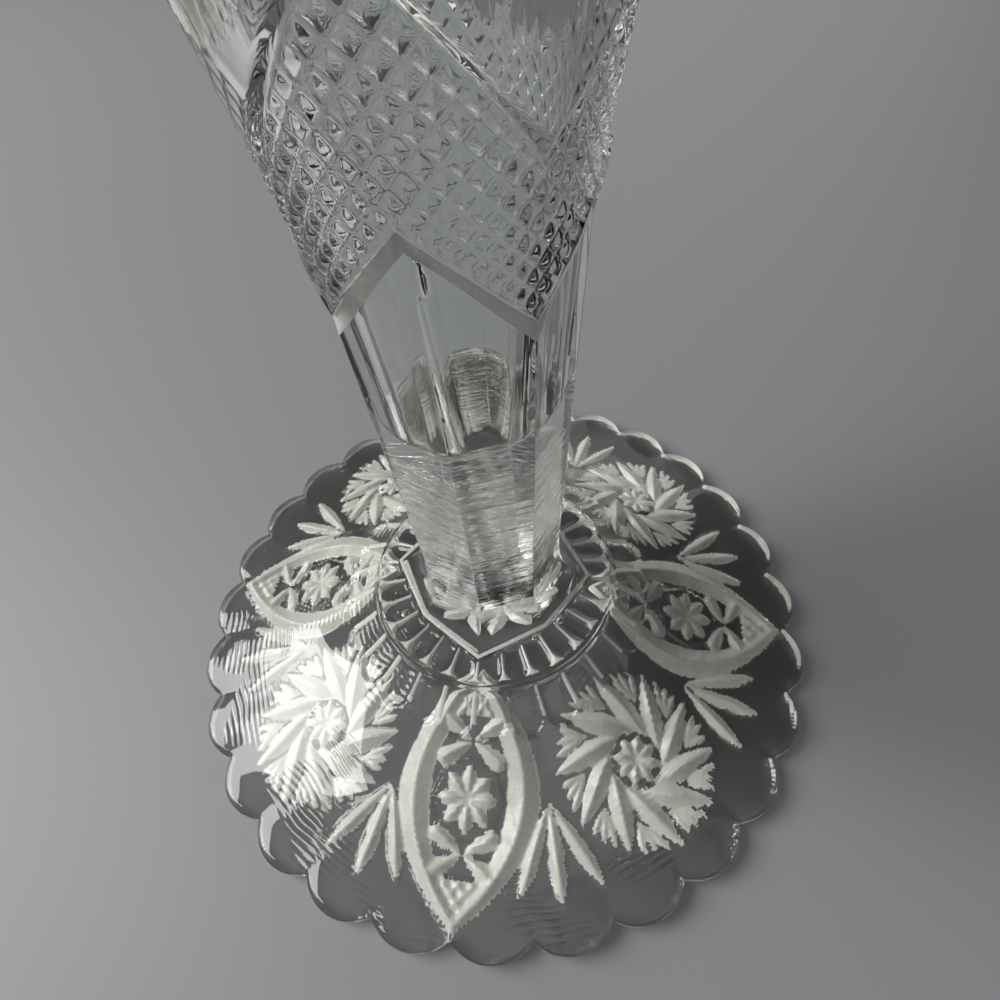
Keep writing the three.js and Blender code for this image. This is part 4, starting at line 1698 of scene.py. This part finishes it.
    def panels(self) -> tuple[list[Cut], list[Cut]]:
        """Lays out the bowl's cuts, each plan with the height along it.

        Returns:
            Those of a lens panel, and those of a column of pinwheels with the fans over them.
        """
        lower_end, upper_end = self.hatch_ends
        panel = LensPanel(
            self.lens,
            self.star_places,
            self.cross_places,
            ((self.lens.start, lower_end), (upper_end, self.lens.end)),
            self.star_radius,
            self.border_depth,
        )
        column: list[Cut] = []
        for along, radius in self.wheels:
            column += Pinwheel((along, 0.0), radius).cuts()
        slope, fullest, stipple = 0.7, 0.62, 0.8
        for root, reach, spreads in self.fans:
            for spread in spreads:
                for side in (-1, 1) if spread else (1,):
                    tip = polar(reach, side * spread, (root, 0.0))
                    column.append(Leaf((root, 0.0), tip, self.fan_width, slope, fullest, stipple))
        return panel.cuts(), column

    def relief(self, angle: np.ndarray, height: np.ndarray) -> tuple[np.ndarray, np.ndarray]:
        """Everything that is pressed into the bowl.

        Args:
            angle: the angle round the axis.
            height: where on the bowl.

        Returns:
            The depth and the stipple: of the diamond field up to the mitre groove, and above it of the
            panels and the pinwheels.
        """
        band_radius, fade, diamond_stipple = 22 * MM, 0.8 * MM, 0.05
        radius = self.bowl_radius(height)
        above = height - self.band_top(angle)
        slant = math.hypot(1, (self.band_peak - self.band_valley) / (TURN / self.sides * band_radius))
        mitre = self.mitre_depth * (1 - np.abs(above) / (self.mitre_half * slant))
        lens_cuts, wheel_cuts = self.panels()
        lens_depth, lens_stipple = carve(lens_cuts, height, radius * fold(angle, FRONT, SECTOR))
        off_wheel = radius * fold(angle, FRONT + SECTOR / 2, SECTOR)
        wheel_depth, wheel_stipple = carve(wheel_cuts, height, off_wheel)
        panel_depth = np.maximum(lens_depth, wheel_depth)
        panel_stipple = np.where(wheel_depth > lens_depth, wheel_stipple, lens_stipple)
        field_depth = np.where(above < 0, self.diamonds(angle, height), panel_depth)
        stipple = np.where(above < 0, diamond_stipple, panel_stipple)
        start = smooth_step(0, fade, height - self.facet_top(angle) - self.bevel)
        return np.maximum(field_depth, mitre) * start, stipple

    def cavity_radius(self, angle: np.ndarray, height: np.ndarray) -> np.ndarray:
        """The radius inside: the outer surface less the wall, and inside the stem drawn in to the floor.

        Low in the stem the cavity has eight flat sides, parallel to the stem's, between rounded corners, and
        further up it turns round.

        Args:
            angle: the angle round the axis.
            height: where in the cavity.

        Returns:
            The radius.
        """
        top = self.bowl_radius(np.array(self.facet_peak)) - self.wall
        share = (height - self.cavity_floor) / (self.facet_peak - self.cavity_floor)
        low = mix(self.cavity_floor_radius, top, share)
        round_radius = np.where(height > self.facet_peak, self.bowl_radius(height) - self.wall, low)
        half_side = TURN / 2 / self.sides
        from_middle = np.abs(fold(angle, FRONT + half_side, 2 * half_side))
        flat, bend = round_radius * self.cavity_flatness, self.cavity_corner
        centre = (flat - bend) / math.cos(half_side)
        from_corner = half_side - from_middle
        arc_height = np.sqrt(np.clip(bend**2 - (centre * np.sin(from_corner)) ** 2, 0, None))
        arc = centre * np.cos(from_corner) + arc_height
        flat_until = np.arctan((flat - bend) * math.tan(half_side) / flat)
        flat_sided = np.where(from_middle < flat_until, flat / np.cos(from_middle), arc)
        rounded = smooth_step(self.cavity_round_from, self.cavity_round_above, height)
        return mix(flat_sided, round_radius, rounded)

    def collar_rim_surface(self, angle: np.ndarray, row: np.ndarray) -> Place:
        """The collar's rounded rim: a quarter circle below, and one above.

        Args:
            angle: the angle round the axis.
            row: the angle along the quarter circle, negative on the lower.

        Returns:
            Radius, height and stipple.
        """
        rounding = self.collar_rounding
        upper_middle = self.base + self.collar_edge - rounding
        middle = np.where(row < 0, self.base + rounding, upper_middle)
        return self.collar_radius - rounding * (1 - np.cos(row)), middle + rounding * np.sin(row), 0.0

    def collar_surface(self, angle: np.ndarray, row: np.ndarray) -> Place:
        """The collar: straight up to the shelf, less its scoops.

        Args:
            angle: the angle round the axis.
            row: the share of the way from the rim to the shelf.

        Returns:
            Radius, height and stipple, which the borders between the scoops have.
        """
        overlap = 1.08
        low, high = self.base + self.collar_edge, self.stem_base - self.shelf_height
        outer, inner = self.collar_radius - self.collar_rounding, self.stem_edge(angle) + self.shelf_width
        flute = scoops(angle, 1 - overlap * row, self.flutes) * smooth_step(1.0, 0.88, row)
        border = flute_border(angle, flute) * smooth_step(0.02, 0.1, row) * smooth_step(0.98, 0.9, row)
        return mix(outer, inner, row), mix(low, high, row) - self.flute_depth * flute, border

    def riser_surface(self, angle: np.ndarray, row: np.ndarray) -> Place:
        """The shelf's side, which leans in a little.

        Args:
            angle: the angle round the axis.
            row: the share of the way up.

        Returns:
            Radius, height and stipple.
        """
        lean = 0.1 * MM
        radius = self.stem_edge(angle) + self.shelf_width - lean * row
        return radius, mix(self.stem_base - self.shelf_height, self.stem_base, row), 0.0

    def shelf_surface(self, angle: np.ndarray, row: np.ndarray) -> Place:
        """The shelf's level top, all satin.

        Args:
            angle: the angle round the axis.
            row: the share of the way in.

        Returns:
            Radius, height and stipple.
        """
        outer_share, inner_less = 0.85, 0.8
        radius = self.stem_edge(angle) + self.shelf_width * (outer_share - inner_less * row)
        return radius, self.stem_base, 1.0

    def stem_surface(self, angle: np.ndarray, row: np.ndarray) -> Place:
        """The plain facets, up to the zigzag, and the burr."""
        height = mix(self.stem_base, self.facet_top(angle), row)
        return self.facet_radius(angle, height) + self.burr(angle, height), height, 0.0

    def bevel_surface(self, angle: np.ndarray, row: np.ndarray) -> Place:
        """The zigzag bevel: straight from the facets out to the bowl, satin below and with a bead above.

        Args:
            angle: the angle round the axis.
            row: the share of the way up.

        Returns:
            Radius, height and stipple.
        """
        bead_middle, bead_half, satin_until, satin = 0.89, 0.09, 0.79, 0.8
        low, high = self.facet_top(angle), self.facet_top(angle) + self.bevel
        bead = self.bead_height * np.clip(1 - np.abs(row - bead_middle) / bead_half, 0, 1)
        radius = mix(self.facet_radius(angle, low), self.bowl_radius(high), row)
        return radius + bead, mix(low, high, row), np.where(row < satin_until, satin, 0.0)

    def bowl_surface(self, angle: np.ndarray, height: np.ndarray) -> Place:
        """The bowl's outside at a height: its round surface, less what is pressed into it."""
        depth, stipple = self.relief(angle, height)
        return self.bowl_radius(height) - depth, height, stipple

    def field_surface(self, angle: np.ndarray, row: np.ndarray) -> Place:
        """The bowl's outside in rings that follow the zigzag, where the row is the height over the bevel."""
        return self.bowl_surface(angle, self.facet_top(angle) + self.bevel + row)

    def upper_surface(self, angle: np.ndarray, row: np.ndarray) -> Place:
        """The bowl's outside from the last of those rings, at 0, to the mouth's rounding, at 1."""
        low = self.facet_top(angle) + self.bevel + self.field_rows[-1]
        return self.bowl_surface(angle, mix(low, self.mouth_height(angle) - self.lip, row))

    def mouth_surface(self, angle: np.ndarray, row: np.ndarray) -> Place:
        """The mouth's rounding: half an ellipse, from the outside over to the inside.

        Args:
            angle: the angle round the axis.
            row: the share of the way over.

        Returns:
            Radius, height and stipple.
        """
        turn = row * TURN / 2
        top = self.mouth_height(angle)
        inset = self.wall / 2 * (1 - np.cos(turn))
        return self.bowl_radius(top - self.lip) - inset, top - self.lip * (1 - np.sin(turn)), 0.0

    def cavity_surface(self, angle: np.ndarray, row: np.ndarray) -> Place:
        """The cavity's wall, where the row is the height."""
        return self.cavity_radius(angle, row), row, 0.0

    def floor_edge_surface(self, angle: np.ndarray, row: np.ndarray) -> Place:
        """The rounded edge of the cavity's floor: a quarter circle, down and in.

        Args:
            angle: the angle round the axis.
            row: the angle along the quarter circle.

        Returns:
            Radius, height and stipple.
        """
        bend = self.cavity_rounding
        start = self.cavity_radius(angle, np.full(angle.shape, self.cavity_floor + bend))
        height = self.cavity_floor + bend * (1 - np.sin(row))
        return start - bend * (1 - np.cos(row)), height, 0.0

    def patches(self) -> list[Patch]:
        """Lays out the body's rings.

        Returns:
            The rings out under the collar, up the outside, over the mouth and down the cavity.
        """
        count, upper_count, inner_count = self.count, self.upper_count, self.count // 3
        face_rows = np.array([10 * MM, 20 * MM, self.collar_radius - self.collar_rounding])
        rim_rows = np.array([-0.7, -0.35, -0.01, 0.01, 0.35, 0.7]) * TURN / 4
        flare_rows, plain_rows = np.linspace(0, 0.16, 13), np.linspace(0.22, 0.86, 5)
        burr_rows = np.append(np.linspace(0.9, 0.997, 17), 0.9995)
        bevel_rows = np.array([0.02, 0.35, 0.6, 0.78, 0.8, 0.89, 0.98])
        cavity_top = self.height - self.mouth_scallop_height - 2 * self.lip
        cavity_rows = np.linspace(cavity_top, self.cavity_floor + 2 * MM, 40)
        return [
            Patch(level_face(self.base), face_rows, inner_count, True),
            Patch(self.collar_rim_surface, rim_rows, self.flutes * 8),
            Patch(self.collar_surface, np.linspace(0, 1, 21), self.flutes * 16),
            Patch(self.riser_surface, np.array([0.15, 0.85]), count),
            Patch(self.shelf_surface, np.linspace(0, 1, 3), count),
            Patch(self.stem_surface, np.concatenate([flare_rows, plain_rows, burr_rows]), count),
            Patch(self.bevel_surface, bevel_rows, count),
            Patch(self.field_surface, np.insert(self.field_rows, 0, 0.1 * MM), count),
            Patch(self.upper_surface, np.linspace(0, 1, 109)[1:], upper_count),
            Patch(self.mouth_surface, np.linspace(0, 1, 9)[1:], upper_count),
            Patch(self.cavity_surface, cavity_rows, inner_count),
            Patch(self.floor_edge_surface, np.linspace(0.15, 1, 5) * TURN / 4, inner_count),
        ]

    def build(self, materials: Sequence[bpy.types.Material]) -> bpy.types.Object:
        """Makes the body's mesh.

        Args:
            materials: the polished glass, that of faces fused to the wafer, and the pressed glass.

        Returns:
            The body.
        """
        skin = Skin()
        skin.grow(self.base, self.patches(), self.cavity_floor)
        return skin.to_object("body_glass", materials)


# The studio


@dataclass(frozen=True)
class Lamp:
    """A soft square lamp that looks at the vase.

    Attributes:
        name: the lamp's name.
        place: where it stands.
        size: its side.
        power: in watts.
        colour: of its light.
    """

    name: str
    place: tuple[float, float, float]
    size: float
    power: float
    colour: tuple[float, float, float] = (1.0, 1.0, 1.0)

    def build(self, target: Vector) -> None:
        """Adds the lamp.

        Args:
            target: the point that it is turned to.
        """
        data = bpy.data.lights.new(self.name, "AREA")
        data.shape = "SQUARE"
        data.size = self.size
        data.energy = self.power
        data.color = self.colour
        lamp = bpy.data.objects.new(self.name, data)
        lamp.location = self.place
        lamp.rotation_euler = (target - Vector(self.place)).to_track_quat("-Z", "Y").to_euler()
        bpy.context.scene.collection.objects.link(lamp)


@dataclass(frozen=True)
class Studio:
    """A plain grey floor, a pale room, soft lamps and the photograph's camera.

    Attributes:
        floor_colour: the floor's.
        floor_roughness: the floor's.
        floor_size: its side.
        floor_gap: how far it lies below the foot.
        room_colour: of the even light from all sides.
        room_strength: of that light.
        bright_side: the direction of the room's window.
        bright_seen: how bright glass and gloss see that side, where 1 is white.
        bright_from: the cosine of the angle from bright_side at which full brightness begins.
        dark_seen: how bright they see the rest of the room.
        dark_until: the cosine at which that darkness ends.
        lamps: the soft lamps.
        camera_place: where the camera stands.
        camera_turn: its turn about X, Y and Z, in degrees.
        camera_near: from where on it sees.
        lens_share: its focal length over the picture's width.
        sensor: its sensor's width, in millimetres as Blender counts it.
    """

    floor_colour: tuple[float, float, float] = (0.27, 0.28, 0.29)
    floor_roughness: float = 0.55
    floor_size: float = 6.0
    floor_gap: float = 0.15 * MM
    room_colour: tuple[float, float, float] = (0.60, 0.62, 0.64)
    room_strength: float = 0.15
    bright_side: tuple[float, float, float] = (-0.42, -0.66, 0.62)
    bright_seen: float = 0.98
    bright_from: float = 0.72
    dark_seen: float = 0.04
    dark_until: float = 0.20
    lamps: tuple[Lamp, ...] = (
        Lamp("key_lamp", (-1.32, -0.09, 1.18), 1.1, 33.0, (1.0, 0.99, 0.97)),
        Lamp("wide_lamp", (1.35, -0.81, 1.08), 1.6, 3.0, (0.98, 0.99, 1.0)),
        Lamp("back_lamp", (0.27, 1.71, 0.68), 1.2, 4.0),
    )
    camera_place: tuple[float, float, float] = (19.36 * MM, -75.27 * MM, 151.10 * MM)
    camera_turn: tuple[float, float, float] = (37.427, 3.452, 7.383)
    camera_near: float = 2 * MM
    lens_share: float = 0.6
    sensor: float = 36.0

    def build(self, target: Vector) -> None:
        """Adds the floor, the room's light, the lamps and the camera.

        Args:
            target: the point that the lamps are turned to.
        """
        self.add_floor()
        self.add_room()
        for lamp in self.lamps:
            lamp.build(target)
        self.add_camera()

    def add_floor(self) -> None:
        """Adds the floor, a hair below the foot."""
        half = self.floor_size / 2
        mesh = bpy.data.meshes.new("floor")
        corners = [(-half, -half), (half, -half), (half, half), (-half, half)]
        mesh.from_pydata([(x, y, -self.floor_gap) for x, y in corners], [], [(0, 1, 2, 3)])
        floor = bpy.data.objects.new("floor", mesh)
        material = bpy.data.materials.new("plain_floor")
        material.use_nodes = True
        shader = material.node_tree.nodes["Principled BSDF"]
        shader.inputs["Base Color"].default_value = (*self.floor_colour, 1)
        shader.inputs["Roughness"].default_value = self.floor_roughness
        mesh.materials.append(material)
        bpy.context.scene.collection.objects.link(floor)
        floor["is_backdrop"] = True

    def add_room(self) -> None:
        """Lights the scene evenly from a pale room, whose one side glass and gloss see as near white.

        Satin glass gathers the even light alone, also through the clear glass in front of it.
        """
        world = bpy.data.worlds.new("room")
        world.use_nodes = True
        nodes, links = world.node_tree.nodes, world.node_tree.links
        even = nodes["Background"]
        even.inputs["Color"].default_value = (*self.room_colour, 1)
        even.inputs["Strength"].default_value = self.room_strength
        towards = nodes.new("ShaderNodeVectorMath")
        towards.operation = "DOT_PRODUCT"
        towards.inputs[1].default_value = Vector(self.bright_side).normalized()
        links.new(nodes.new("ShaderNodeTexCoord").outputs["Generated"], towards.inputs[0])
        shade = nodes.new("ShaderNodeMapRange")
        shade.interpolation_type = "SMOOTHSTEP"
        shade.inputs["From Min"].default_value = self.dark_until
        shade.inputs["From Max"].default_value = self.bright_from
        shade.inputs["To Min"].default_value = self.dark_seen
        shade.inputs["To Max"].default_value = self.bright_seen
        links.new(towards.outputs["Value"], shade.inputs["Value"])
        seen = nodes.new("ShaderNodeBackground")
        links.new(shade.outputs["Result"], seen.inputs["Color"])
        path = nodes.new("ShaderNodeLightPath").outputs
        sight = path["Is Camera Ray"]
        for ray in ("Is Glossy Ray", "Is Transmission Ray"):
            either = nodes.new("ShaderNodeMath")
            either.operation = "MAXIMUM"
            links.new(sight, either.inputs[0])
            links.new(path[ray], either.inputs[1])
            sight = either.outputs[0]
        less_than_one_bounce = 0.5
        unscattered = nodes.new("ShaderNodeMath")
        unscattered.operation = "LESS_THAN"
        unscattered.inputs[1].default_value = less_than_one_bounce
        links.new(path["Diffuse Depth"], unscattered.inputs[0])
        both = nodes.new("ShaderNodeMath")
        both.operation = "MULTIPLY"
        links.new(sight, both.inputs[0])
        links.new(unscattered.outputs[0], both.inputs[1])
        mixed = nodes.new("ShaderNodeMixShader")
        links.new(both.outputs[0], mixed.inputs["Fac"])
        links.new(even.outputs[0], mixed.inputs[1])
        links.new(seen.outputs[0], mixed.inputs[2])
        links.new(mixed.outputs[0], nodes["World Output"].inputs["Surface"])
        bpy.context.scene.world = world

    def add_camera(self) -> None:
        """Adds the camera where the photograph was taken from."""
        data = bpy.data.cameras.new("photo_camera")
        data.sensor_width = self.sensor
        data.lens = self.sensor * self.lens_share
        data.clip_start = self.camera_near
        camera = bpy.data.objects.new("photo_camera", data)
        camera.location = self.camera_place
        camera.rotation_euler = Euler([math.radians(value) for value in self.camera_turn], "XYZ")
        bpy.context.scene.collection.objects.link(camera)
        bpy.context.scene.camera = camera


def dress_vase() -> None:
    """Builds the three pieces of glass, hangs each under the root's empty and hides its CAD solid."""
    grain, polish = pressed_grain_group(), fire_polish_group()
    fused = ClearGlass("fused_joint", 1.0, shade=(1.0, 1.0, 1.0)).build(grain, polish)
    foot_low, foot_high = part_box("foot")
    wafer_low, wafer_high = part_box("wafer")
    body_low, body_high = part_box("body")
    lower_joint = wafer_low.z - FUSED_GAP / 2
    upper_joint = body_low.z - FUSED_GAP / 2
    joint_radius = wafer_high.x + FUSED_GAP / 2
    crown_radius = foot_high.x / CROWN_SHARE
    foot = Foot(crown_radius, upper_joint - CONTACT, lower_joint - CONTACT, joint_radius + CONTACT)
    wafer = Wafer(joint_radius - CONTACT, lower_joint + CONTACT, upper_joint - CONTACT)
    collar_radius = 29.4 * MM
    body = Body(upper_joint + CONTACT, body_high.z, collar_radius, body_high.x)
    stem_rippled = ClearGlass(
        "body_glass",
        wave_height=0.07 * MM,
        ripple_scale=560.0,
        ripple_height=0.42 * MM,
        ripple_bottom=25 * MM,
        ripple_top=79 * MM,
    )
    pieces = (
        (foot, ClearGlass("foot_glass", ring_height=0.034 * MM), "foot"),
        (wafer, ClearGlass("wafer_glass"), "wafer"),
        (body, stem_rippled, "body"),
    )
    for part, finish, node in pieces:
        piece = part.build([finish.build(grain, polish), fused, finish.as_pressed().build(grain, polish)])
        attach(piece, "root")
        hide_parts(node)


def main() -> None:
    """Loads the frame, builds the vase and the studio, and turns the lamps to a height taken from the solids'
    box.
    """
    logging.basicConfig(level=logging.INFO, format="%(message)s")
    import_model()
    cad_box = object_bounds()
    dress_vase()
    Studio().build(Vector((0, 0, (cad_box[0].z + cad_box[1].z) / 3)))
    scene = bpy.context.scene
    scene.view_settings.view_transform = "Standard"
    scene.cycles.caustics_reflective = False
    scene.cycles.caustics_refractive = False


if __name__ == "__main__":
    main()
